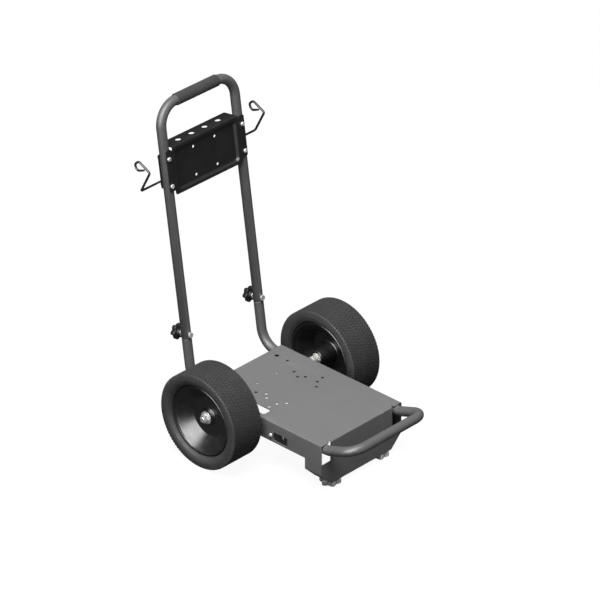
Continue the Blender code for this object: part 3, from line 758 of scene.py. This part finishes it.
# ---- tubes ----
def drill(x, up, radius):
    """Fore-and-aft drill through a leaning tube or plate."""
    rings = [(-0.03, 0), (-0.03, radius), (0.03, radius), (0.03, 0)]
    return turned(rings, upright_axis(x, up), 24)


def make_bumper():
    """Bent loop that runs out of the front notches and rises ahead of the deck."""
    lift_start = DECK_FRONT - 0.0095
    top = TUBE_LEVEL + (BUMPER_REACH + lift_start) * tan(BUMPER_RISE)
    half = [(-UPRIGHT_X, AXLE_Y + y, z) for y, z in
            ((BUMPER_TAIL, TUBE_LEVEL), (lift_start, TUBE_LEVEL), (-BUMPER_REACH, top))]
    bends = (0, BUMPER_LIFT_BEND, BUMPER_BEND, BUMPER_BEND, BUMPER_LIFT_BEND, 0)
    stand_for(tube(filleted(half + mirrored(half), bends, 14)), "bumper_tube")


def make_lower_uprights():
    """Bent tubes from under the deck to the handle joint, with swaged spigots."""
    lean = atan2(UPWARD.y, UPWARD.z)
    knee = BASE_Y + (TUBE_LEVEL - BASE_Z) * tan(lean)
    for side, label in SIDES:
        x = side * UPRIGHT_X
        corners = [(x, AXLE_Y + UPRIGHT_TAIL, TUBE_LEVEL), (x, AXLE_Y + knee, TUBE_LEVEL),
                   on_upright(x, 0, SEAM - GAP)]
        path = filleted(corners, (0, BEND_RADIUS, 0), 16)
        radii = [TUBE_RADIUS] * len(path)
        for up, radius in ((SEAM + 0.0002, TUBE_RADIUS - 0.0004),
                           (SEAM + 0.0009, SPIGOT_RADIUS + 0.0002),
                           (SEAM + 0.0014, SPIGOT_RADIUS), (SPIGOT_TOP, SPIGOT_RADIUS)):
            path.append(on_upright(x, 0, up))
            radii.append(radius)
        made = tube(path, radii)
        carve(made, [drill(x, KNOB_HEIGHT, BOLT_HOLE)])
        stand_for(made, label + "_lower_upright")


def make_handle():
    """Upper frame bent into a tall U, with its foam grip."""
    foot = SEAM + 0.0018
    corners = [on_upright(side * UPRIGHT_X, 0, up)
               for side, up in ((-1, foot), (-1, HANDLE_TOP), (1, HANDLE_TOP), (1, foot))]
    made = tube(filleted(corners, (0, BEND_RADIUS, BEND_RADIUS, 0), 18))
    drills = []
    for side, _ in SIDES:
        drills.append(drill(side * UPRIGHT_X, KNOB_HEIGHT, BOLT_HOLE))
        drills += [drill(side * UPRIGHT_X, up, TRAY_HOLE) for up in TRAY_SCREWS]
    carve(made, drills)
    stand_for(made, "handle_tube")

    place = Matrix.Translation(on_upright(0, 0, HANDLE_TOP)) @ Matrix.Rotation(pi / 2, 4, "Y")
    sleeve("handle_grip", (-GRIP_HALF, GRIP_HALF), (TUBE_RADIUS + GAP, GRIP_RADIUS),
           (0.0004, 0.0019, 0.0019, 0.0004), place, 64, 6)


# ---- fasteners ----
def hexagon(flat_radius, low, high):
    """Reach of a hexagon nut or head whose end corners are turned off."""
    turned_off = flat_radius * 1.06

    def reach(angle, along, radius):
        if radius < flat_radius * 0.93:
            return radius
        from_flat = (angle + pi / 6) % (pi / 3) - pi / 6
        hexagonal = flat_radius / cos(abs(from_flat))
        depth = min(along - low, high - along)
        return min(hexagonal, turned_off + depth * 1.7, radius * 2)
    return reach


def nut(node, low, high, place, flat_radius=NUT_FLATS, thread_radius=SCREW_RADIUS):
    """Hexagon nut between two levels."""
    bore = thread_radius + GAP
    mouth = bore + THREAD_CHAMFER
    face = flat_radius * 0.94 * 0.97
    rings = [(low + THREAD_CHAMFER, bore), (low, mouth), (low, face)]
    rings += [(low + (high - low) * share, flat_radius)
              for share in (0, 0.03, 0.07, 0.12, 0.2, 0.5, 0.8, 0.88, 0.93, 0.97, 1)]
    rings += [(high, face), (high, mouth), (high - THREAD_CHAMFER, bore)]
    head = hexagon(flat_radius, low, high)
    stand_for(turned(rings, place, 72, closed=True, reach=head), node)


def threaded(radius, pitch, start, end):
    """Reach that winds a thread round a shank between two levels."""
    def reach(angle, along, ring):
        if not start < along < end or ring < radius * 0.8:
            return ring
        turns = along / pitch - angle / TURN
        ridge = abs(2 * (turns - floor(turns)) - 1)
        return ring - THREAD_DEPTH * (1 - ridge)
    return reach


def shank(tip, radius, seat, thread_end, pitch):
    """Rings of a screw shank: chamfered tip, threaded length and plain length."""
    chamfer = 0.0008
    start = tip + 0.001
    count = int((thread_end - tip) / pitch * 5)
    rings = [(tip, 0), (tip, radius - chamfer), (tip + chamfer, radius)]
    rings += [(start + (thread_end - start) * i / count, radius) for i in range(count + 1)]
    return rings + [(seat, radius)]


def cross_recess(top, size, place):
    """Tapered cross-shaped driver recess cutter."""
    cutters = []
    for turn in (0, pi / 2):
        spin = place @ Matrix.Rotation(turn, 4, "Z")
        wide, narrow = size, size * 0.26
        corners = [(-wide, -narrow), (wide, -narrow), (wide, narrow), (-wide, narrow)]
        low = [(x * 0.55, y * 0.7, top - size * 0.62) for x, y in corners]
        high = [(x, y, top + 0.001) for x, y in corners]
        faces = [(0, 1, 2, 3), (4, 5, 6, 7)] + band(0, 4, 4)
        cutters.append(make_mesh(low + high, faces, spin))
    return cutters


def screw(node, seat, tip, thread_end, place, head_radius=0.006):
    """Pan-head screw: domed head outside the seat, shank back to the tip."""
    top = seat + HEAD_HEIGHT
    dome = [(seat, SCREW_RADIUS, 0), (seat, head_radius, 0.0003),
            (seat + HEAD_HEIGHT * 0.45, head_radius, 0.0016),
            (top, head_radius * 0.72, 0.0022), (top, 0, 0)]
    rings = shank(tip, SCREW_RADIUS, seat, thread_end, SCREW_PITCH) + rounded(dome, 5, False)[1:]
    thread = threaded(SCREW_RADIUS, SCREW_PITCH, tip + 0.0009, thread_end)
    made = turned(rings, place, 40, reach=thread)
    carve(made, cross_recess(top, head_radius * 0.46, place))
    stand_for(made, node)


def make_knobs():
    """Through bolts with star knobs that clamp the handle to the spigots."""
    seat = TUBE_RADIUS + GAP
    top = seat + 0.0053
    tip = -0.034
    thread_end = -0.0135
    flats = 0.0065  # half the width of the bolt head
    face = -seat - KNOB_WASHER - GAP
    bore = BOLT_RADIUS + GAP
    head = hexagon(flats, seat, top)
    thread = threaded(BOLT_RADIUS, BOLT_PITCH, tip + 0.001, thread_end)

    def bolt(angle, along, radius):
        return head(angle, along, radius) if radius > 0.0045 else thread(angle, along, radius)

    def lobes(angle, along, radius):
        if radius < 0.0135:
            return radius
        wave = 0.5 + 0.5 * cos(6 * angle)
        return radius * (0.76 + 0.24 * wave ** 0.8)
    shaft = shank(tip, BOLT_RADIUS, seat, thread_end, BOLT_PITCH) + [(seat, 0.0060)]
    shaft += [(seat + (top - seat) * share, flats)
              for share in (0, 0.04, 0.1, 0.2, 0.5, 0.8, 0.9, 0.96, 1)]
    shaft += [(top, 0.0058), (top, 0.0040), (top - 0.0005, 0.0030), (top - 0.0005, 0)]
    knob = rounded([
        (tip - 0.0012, 0, 0), (tip - 0.0012, bore, 0),
        (face, bore, 0.0003), (face, 0.0095, 0.0008),
        (face - 0.0065, 0.0105, 0.0020), (face - 0.0085, 0.0205, 0.0022),
        (face - 0.0205, 0.0205, 0.0030), (face - 0.0240, 0.0150, 0.0020),
        (face - 0.0240, 0.0085, 0.0006), (face - 0.0225, 0.0070, 0.0005),
        (face - 0.0225, 0, 0),
    ], 6, False)
    for side, label in SIDES:
        place = upright_axis(side * UPRIGHT_X, KNOB_HEIGHT)
        stand_for(turned(shaft, place, 60, reach=bolt), label + "_handle_bolt")
        sleeve(label + "_knob_washer", (-seat - KNOB_WASHER, -seat), (bore, KNOB_WASHER_RADIUS),
               STAMPED_EDGES, place, 56)
        stand_for(turned(knob, place, 144, reach=lobes), label + "_star_knob")


def make_feet():
    """Scalloped pads bolted under the two front legs."""
    top = FLANGE_BOTTOM - GAP

    def lobes(angle, along, radius):
        if radius < 0.0225:
            return radius
        return radius * (0.88 + 0.12 * cos(6 * angle))
    pad = rounded([
        (FOOT_RECESS, SCREW_HOLE, 0.0002), (FOOT_RECESS, 0.0070, 0.0004),
        (0, 0.0070, 0.0006), (0, FOOT_RADIUS, 0.0022),
        (top, FOOT_RADIUS, 0.0035), (top, SCREW_HOLE, 0.0003),
    ], 6)
    for side, label in SIDES:
        place = at(side * FOOT_X, FOOT_Y, 0)
        stand_for(turned(pad, place, 120, closed=True, reach=lobes), label + "_front_foot")
        flip = place @ Matrix.Rotation(pi, 4, "X")
        screw(label + "_foot_screw", -FOOT_RECESS + GAP, -0.026, -0.0215, flip)
        flange = FLANGE_BOTTOM + SHEET
        nut(label + "_foot_nut", flange + GAP, flange + 0.0055, place)


def make_plate_fasteners():
    """Screws and nuts of the blanking plates."""
    back = DECK_HALF - 2 * SHEET - 2 * GAP
    low = back - NUT_HEIGHT
    for side, label in SIDES:
        axis = along_x(side, PLATE_SCREW_Y, PLATE_SCREW_Z)
        screw(label + "_plate_screw", DECK_HALF + GAP, back - 0.0072, low, axis, 0.0055)
        nut(label + "_plate_nut", low, back, axis)


# ---- wheels ----
PITCHES = 96  # tread blocks round the tyre
COLUMNS = (0.0, 0.05, 0.20, 0.25, 0.5, 0.75)  # shares of one pitch; slots up to 0.25
TREAD_DEPTH = 0.0013
SLOT_DEPTH = 0.0012
SHOULDER = WHEEL_WIDTH / 2 - 0.0035  # half width of the flat tread
SLOTTED_ABOVE = 0.1195  # radius where the shoulder's slots end
ZIGZAG = 0.0012
GROOVE_WIDTH = 0.0018
GROOVE_WALL = 0.0003
GROOVES = ((0.0080, 1), (0.0180, 1), (0.0280, 1), (0.0380, 0.6))  # inner edge, zigzag share


def tyre_profile():
    """Rows of half the section: along, radius, groove depth, slots or not, rib, zigzag share."""
    face = WHEEL_WIDTH / 2
    rows = [(0.0, WHEEL_RADIUS, 0, True, 0, 0)]
    for rib, (edge, zigzag) in enumerate(GROOVES):
        far = edge + GROOVE_WIDTH
        rows += [(edge, WHEEL_RADIUS, 0, True, rib, zigzag),
                 (edge + GROOVE_WALL, WHEEL_RADIUS, TREAD_DEPTH, False, rib, zigzag),
                 (far - GROOVE_WALL, WHEEL_RADIUS, TREAD_DEPTH, False, rib + 1, zigzag),
                 (far, WHEEL_RADIUS, 0, True, rib + 1, zigzag)]
    corners = [
        (far, WHEEL_RADIUS, 0), (SHOULDER, WHEEL_RADIUS, 0.0012),
        (face - 0.0015, 0.1245, 0.0030), (face - 0.0006, 0.1190, 0.0040),
        (face, 0.1100, 0.0120), (face - 0.0025, 0.1020, 0.0060),
        (RIM_HALF - 0.0065, 0.0953, 0.0022), (RIM_HALF - 0.0128, 0.0953, 0.0006),
        (RIM_HALF - 0.0128, 0.0883, 0),
    ]
    return rows + [(point.x, point.y, 0, point.y > SLOTTED_ABOVE, len(GROOVES), 0)
                   for point in rounded(corners, 4, False)[1:]]


def make_tyre(node, place):
    """Tyre with zigzag grooves and narrow staggered slots across its ribs."""
    half = tyre_profile()
    rows = mirrored(half[1:]) + half
    count = PITCHES * len(COLUMNS)
    points = []
    for k, (along, radius, depth, slotted, rib, zigzag) in enumerate(rows):
        before, after = rows[k - 1], rows[(k + 1) % len(rows)]
        run = Vector((after[0] - before[0], after[1] - before[1])).normalized()
        for i in range(count):
            pitch, column = divmod(i, len(COLUMNS))
            phase = COLUMNS[column]
            angle = TURN * (pitch + phase + rib / 2) / PITCHES
            sink = SLOT_DEPTH if slotted and COLUMNS[0] < phase < COLUMNS[3] else depth
            wave = 1 - abs(2 * phase - 1) * 2
            across = along + copysign(ZIGZAG * zigzag * wave, along) + run.y * sink
            reach = radius - run.x * sink
            points.append((reach * cos(angle), reach * sin(angle), across))
    faces = []
    for k in range(len(rows)):
        faces += band(k * count, (k + 1) % len(rows) * count, count)
    stand_for(make_mesh(points, faces, place, radians(30)), node)


def make_hub(node, place):
    """Deep-dish moulded hub."""
    lip = [
        (RIM_HALF - 0.0115, 0.0868, 0.0008), (RIM_HALF - 0.0080, 0.0883, 0.0012),
        (RIM_HALF - 0.0080, 0.0906, 0.0026), (RIM_HALF - 0.0118, 0.0938, 0.0003),
        (RIM_HALF - 0.0120, 0.0950, 0.0002), (RIM_HALF - 0.0125, 0.0950, 0),
        (RIM_HALF - 0.0125, 0.0880, 0),
    ]
    outer = [
        (BOSS_OUT, BUSH_SEAT, 0.0003), (BOSS_OUT, 0.0200, 0.0015),
        (RIM_HALF - 0.0400, 0.0230, 0.0050), (RIM_HALF - 0.0400, 0.0520, 0.0070),
        (RIM_HALF - 0.0180, 0.0780, 0.0060),
    ]
    inner = [
        (-RIM_HALF + 0.0180, 0.0780, 0.0060), (-RIM_HALF + 0.0470, 0.0540, 0.0070),
        (-RIM_HALF + 0.0480, 0.0250, 0.0050), (BOSS_IN, 0.0190, 0.0015),
        (BOSS_IN, BUSH_SEAT, 0.0003),
    ]
    rings = rounded(outer + lip + mirrored(lip) + inner, 6)
    stand_for(turned(rings, place, 160, closed=True), node)


def make_wheels():
    """Tyres, hubs and flanged bushes."""
    for side, label in SIDES:
        place = along_x(side, 0, WHEEL_CENTRE.z) @ Matrix.Translation((0, 0, WHEEL_CENTRE.x))
        make_tyre(label + "_wheel_tyre", place)
        make_hub(label + "_wheel_hub", place)
        for end, way, where in ((BOSS_OUT, 1, "outer"), (BOSS_IN, -1, "inner")):
            levels = [end + way * step for step in (-BUSH_LENGTH, GAP, GAP + BUSH_FLANGE)]
            rings = rounded([
                (levels[0], AXLE_BORE, 0.0004), (levels[0], 0.0100, 0.0005),
                (levels[1], 0.0100, 0.0001), (levels[1], 0.0135, 0.0003),
                (levels[2], 0.0135, 0.0006), (levels[2], AXLE_BORE, 0.0004),
            ], 3)
            stand_for(turned(rings, place, 48, closed=True), f"{label}_{where}_bush")


def make_axle():
    """Axle with threaded ends, its spacers, washers and nuts."""
    half = [(AXLE_HALF, 0), (AXLE_HALF, AXLE_RADIUS - 0.0010), (AXLE_HALF - 0.0010, AXLE_RADIUS)]
    half += [(AXLE_HALF - 0.0012 - 0.0004 * i, AXLE_RADIUS) for i in range(38)]
    thread_end = AXLE_HALF - 0.0158
    thread = threaded(AXLE_RADIUS, AXLE_PITCH, thread_end, AXLE_HALF - 0.0011)

    def reach(angle, along, radius):
        return thread(angle, abs(along), radius)
    rings = half + mirrored(half)
    stand_for(turned(rings, along_x(1, 0, WHEEL_CENTRE.z), 48, reach=reach), "axle_rod")
    flange = BUSH_FLANGE + 2 * GAP
    washer_in = BOSS_OUTER + flange
    washer_out = washer_in + AXLE_WASHER
    for side, label in SIDES:
        axis = along_x(side, 0, WHEEL_CENTRE.z)
        sleeve(label + "_axle_spacer", (DECK_HALF + GAP, BOSS_INNER - flange),
               (AXLE_BORE, SPACER_RADIUS), (0.0004, 0.0007, 0.0007, 0.0004), axis, 48)
        sleeve(label + "_axle_washer", (washer_in, washer_out), (AXLE_BORE, AXLE_WASHER_RADIUS),
               STAMPED_EDGES, axis, 56)
        low = washer_out + GAP
        nut(label + "_axle_nut", low, low + AXLE_NUT_HEIGHT, axis, AXLE_NUT_FLATS, AXLE_RADIUS)


# ---- tray and hooks ----
TRAY_FRONT = TUBE_RADIUS + GAP + TRAY_SHEET
TRAY_SECTION = Section([(TRAY_FRONT, TRAY_BOTTOM), (TRAY_FRONT, TRAY_TOP), (-SHELF_REAR, TRAY_TOP)],
                       TRAY_BEND)
PAN_STEP = filleted([(-0.002, 0), (0, 0), (PAN_DRAFT, PAN_DEPTH), (PAN_DRAFT + 0.005, PAN_DEPTH)],
                    (0, 0.0022, 0.0028, 0), 6)


def pan_outline(inset):
    """Outline on the blank, drawn in from the mouth of the pan."""
    half = PAN_HALF - inset
    loop = rounded_box((-half, PAN_LOW + inset), (half, PAN_HIGH - inset),
                       max(PAN_CORNER - inset, 0.0008), 12)
    return [(point.x, point.y - TRAY_BOTTOM) for point in loop]


def pan_depth(u, up):
    """How far the pan is pressed in at a point of the tray face."""
    across = abs(u) - PAN_HALF + PAN_CORNER
    along = abs(up - (PAN_LOW + PAN_HIGH) / 2) - (PAN_HIGH - PAN_LOW) / 2 + PAN_CORNER
    outside = hypot(max(across, 0), max(along, 0)) + min(max(across, along), 0) - PAN_CORNER
    inset = -outside
    for before, after in zip(PAN_STEP, PAN_STEP[1:]):
        if before.x <= inset <= after.x:
            share = (inset - before.x) / (after.x - before.x)
            return before.y + share * (after.y - before.y)
    return 0.0 if inset < 0 else PAN_DEPTH


def tray_surface(u, v):
    """Front and top face of the tray: u across, v up the plate and back along the shelf."""
    forward, up = TRAY_SECTION.at(v)
    if v < TRAY_SECTION.lengths[1]:
        forward -= pan_depth(u, up)
    return on_upright(u, forward, up)


def make_tray():
    """Press and fold the tray from one blank."""
    shelf_end = TRAY_SECTION.lengths[-1]

    def up(height):
        return height - TRAY_BOTTOM
    relief = (TRAY_SHELF + 0.0004, TRAY_SHELF + 0.0064)
    ear_bottom = TRAY_SCREWS[0] - 0.014
    ear_top = TRAY_SCREWS[1] + 0.0235
    relief_low = TRAY_TOP - 0.0075
    tip_row = shelf_end - (SHELF_REAR - 0.0095)
    half = [
        (TRAY_BODY, up(TRAY_BOTTOM), 0.008), (TRAY_BODY, up(ear_bottom), 0.002),
        (TRAY_EAR, up(ear_bottom), 0.005), (TRAY_EAR, up(ear_top), 0.005),
        (relief[1], up(ear_top), 0.0008), (relief[1], up(relief_low), 0.0029),
        (relief[0], up(relief_low), 0.0029), (relief[0], shelf_end, 0.003),
    ]
    loops = [rounded(half + mirrored(half), 6)]
    for side, _ in SIDES:
        loops += [circle((side * UPRIGHT_X, up(level)), TRAY_HOLE, 24) for level in TRAY_SCREWS]
        loops += [circle((side * PAN_HOLE_X, up(level)), 0.0035, 24) for level in PAN_HOLE_LEVELS]
        loops += [circle((side * across, tip_row), TIP_HOLE, 40) for across in TIP_HOLES_X]
    guides = [pan_outline(step.x) for step in PAN_STEP[1:-1]]
    guides += [[(-TRAY_EAR, length), (TRAY_EAR, length)] for length in TRAY_SECTION.lengths[1:-1]]
    stand_for(formed_sheet(loops, guides, tray_surface, TRAY_SHEET), "tool_tray")


def make_hook_brackets():
    """Flat bars behind the uprights that carry the hose hooks."""
    front = -TUBE_RADIUS - GAP
    back = front - BRACKET_THICK - GAP
    head = TUBE_RADIUS + GAP + TRAY_SHEET + GAP

    def surface(u, v):
        return on_upright(u, front, v)
    for side, label in SIDES:
        left, right = sorted((side * (UPRIGHT_X - 0.0125), side * (UPRIGHT_X + 0.0085)))
        outline = rounded_box((left, TRAY_SCREWS[0] - 0.010), (right, TRAY_SCREWS[1] + 0.008), 0.004,
                              6)
        holes = [circle((side * UPRIGHT_X, up), TRAY_HOLE, 24) for up in TRAY_SCREWS]
        bar = formed_sheet([outline] + holes, [], surface, BRACKET_THICK)
        stand_for(bar, label + "_hook_bracket")
        for up, level in zip(TRAY_SCREWS, ("lower", "upper")):
            axis = upright_axis(side * UPRIGHT_X, up)
            low = back - NUT_HEIGHT
            screw(f"{label}_{level}_tray_screw", head, back - 0.0065, low, axis)
            nut(f"{label}_{level}_tray_nut", low, back, axis)


def make_hooks():
    """Bent wire hose hooks, each ending in a small eye."""
    wire_plane = -TUBE_RADIUS - GAP - BRACKET_THICK - GAP - HOOK_WIRE
    for (side, label), level in zip(SIDES, HOOK_LEVELS):
        start = on_upright(side * HOOK_START_X, wire_plane, level)
        elbow = on_upright(side * HOOK_ELBOW_X, wire_plane, level)
        crest = elbow + Vector((0, *HOOK_CREST))
        corners = [start, elbow, crest] + [crest + Vector((0, *turn)) for turn in HOOK_EYE]
        path = filleted(corners, (0, 0.005, 0.005, 0.009, 0.009, 0.009, 0), 10)
        first, last = path[0], path[-1]
        path = [first, first.lerp(path[1], 0.006)] + path[1:-1] + [last.lerp(path[-2], 0.3), last]
        eased = [HOOK_WIRE - 0.0009, HOOK_WIRE - 0.0003]
        radii = eased + [HOOK_WIRE] * (len(path) - 4) + eased[::-1]
        stand_for(swept(path, radii, None, 20), label + "_hose_hook")


# ---- studio ----
CAMERA_AZIMUTH = radians(-46.48)
CAMERA_ELEVATION = radians(29.95)
CAMERA_DISTANCE = 12.0
CAMERA_LENS = 289.5
CAMERA_ASIDE = 0.0714  # moves across and up the picture that set the framing
CAMERA_RAISED = 0.3147

LAMP_DISTANCE = 9.0
KEY_DIRECTION = (-0.31, -0.15, 0.94)
KEY_SIZE = 6.0
KEY_POWER = 960
SHEEN_DIRECTION = (-0.82, -0.16, 0.52)
SHEEN_SIZE = 10.0
SHEEN_POWER = 2200
ROOM_LIGHT = 0.11  # what the room sends onto the cart; it looks white itself
FLOOR_GREY = 0.09
FLOOR_GLOW = 0.94  # seen by the camera only, so that the floor reads white
FLOOR_REACH = 30
WHITE = (1, 1, 1, 1)


def make_camera():
    """Long lens far out at the front left, looking down on the deck."""
    lens = bpy.data.cameras.new("camera")
    lens.lens = CAMERA_LENS
    lens.sensor_width = 36
    lens.clip_start = 0.5
    lens.clip_end = 200
    camera = placed("camera", lens)
    turn = Matrix.Rotation(CAMERA_AZIMUTH, 4, "Z")
    turn = turn @ Matrix.Rotation(pi / 2 - CAMERA_ELEVATION, 4, "X")
    moved = Matrix.Translation((CAMERA_ASIDE, CAMERA_RAISED, CAMERA_DISTANCE))
    camera.matrix_world = at(0, 0, 0) @ turn @ moved
    bpy.context.scene.camera = camera


def softbox(name, direction, size, power, seen_by_all=True):
    """Round soft light far out in one direction, for everything or for gloss alone."""
    lamp = bpy.data.lights.new(name, "AREA")
    lamp.shape = "DISK"
    lamp.size = size
    lamp.energy = power
    box = placed(name, lamp)
    toward = Vector(direction).normalized()
    box.location = (cad_low + cad_high) / 2 + toward * LAMP_DISTANCE
    box.rotation_mode = "QUATERNION"
    box.rotation_quaternion = toward.to_track_quat("Z", "Y")
    box.visible_diffuse = seen_by_all


def by_view(tree, otherwise, seen):
    """One value for what the camera sees directly, another for all else."""
    level = tree.nodes.new("ShaderNodeMapRange")
    level.inputs["To Min"].default_value = otherwise
    level.inputs["To Max"].default_value = seen
    tree.links.new(tree.nodes.new("ShaderNodeLightPath").outputs["Is Camera Ray"],
                   level.inputs["Value"])
    return level.outputs["Result"]


def make_studio():
    """Pale floor in a pale room, a big soft key overhead and a low sheen from the left."""
    softbox("key", KEY_DIRECTION, KEY_SIZE, KEY_POWER)
    softbox("sheen", SHEEN_DIRECTION, SHEEN_SIZE, SHEEN_POWER, False)

    world = bpy.data.worlds.new("room")
    bpy.context.scene.world = world
    world.use_nodes = True
    tree = world.node_tree
    tree.links.new(by_view(tree, ROOM_LIGHT, 1), tree.nodes["Background"].inputs["Strength"])
    tree.nodes["Background"].inputs["Color"].default_value = WHITE

    pale = Finish("floor_pale", (FLOOR_GREY,) * 3, 0.9, Specular_IOR_Level=0, Emission_Color=WHITE)
    pale.feed(pale.shader.inputs["Emission Strength"], by_view(pale.tree, 0, FLOOR_GLOW))
    mesh = bpy.data.meshes.new("floor")
    corners = [(x * FLOOR_REACH, y * FLOOR_REACH, -GAP)
               for x, y in ((-1, -1), (1, -1), (1, 1), (-1, 1))]
    mesh.from_pydata(corners, [], [(0, 1, 2, 3)])
    mesh.materials.append(pale.material)
    floor = placed("floor", mesh)
    bpy.context.scene.view_settings.view_transform = "Standard"


make_camera()
make_studio()
make_deck()
make_blanking_plates()
make_plate_fasteners()
make_feet()
make_bumper()
make_lower_uprights()
make_handle()
make_knobs()
make_wheels()
make_axle()
make_tray()
make_hook_brackets()
make_hooks()
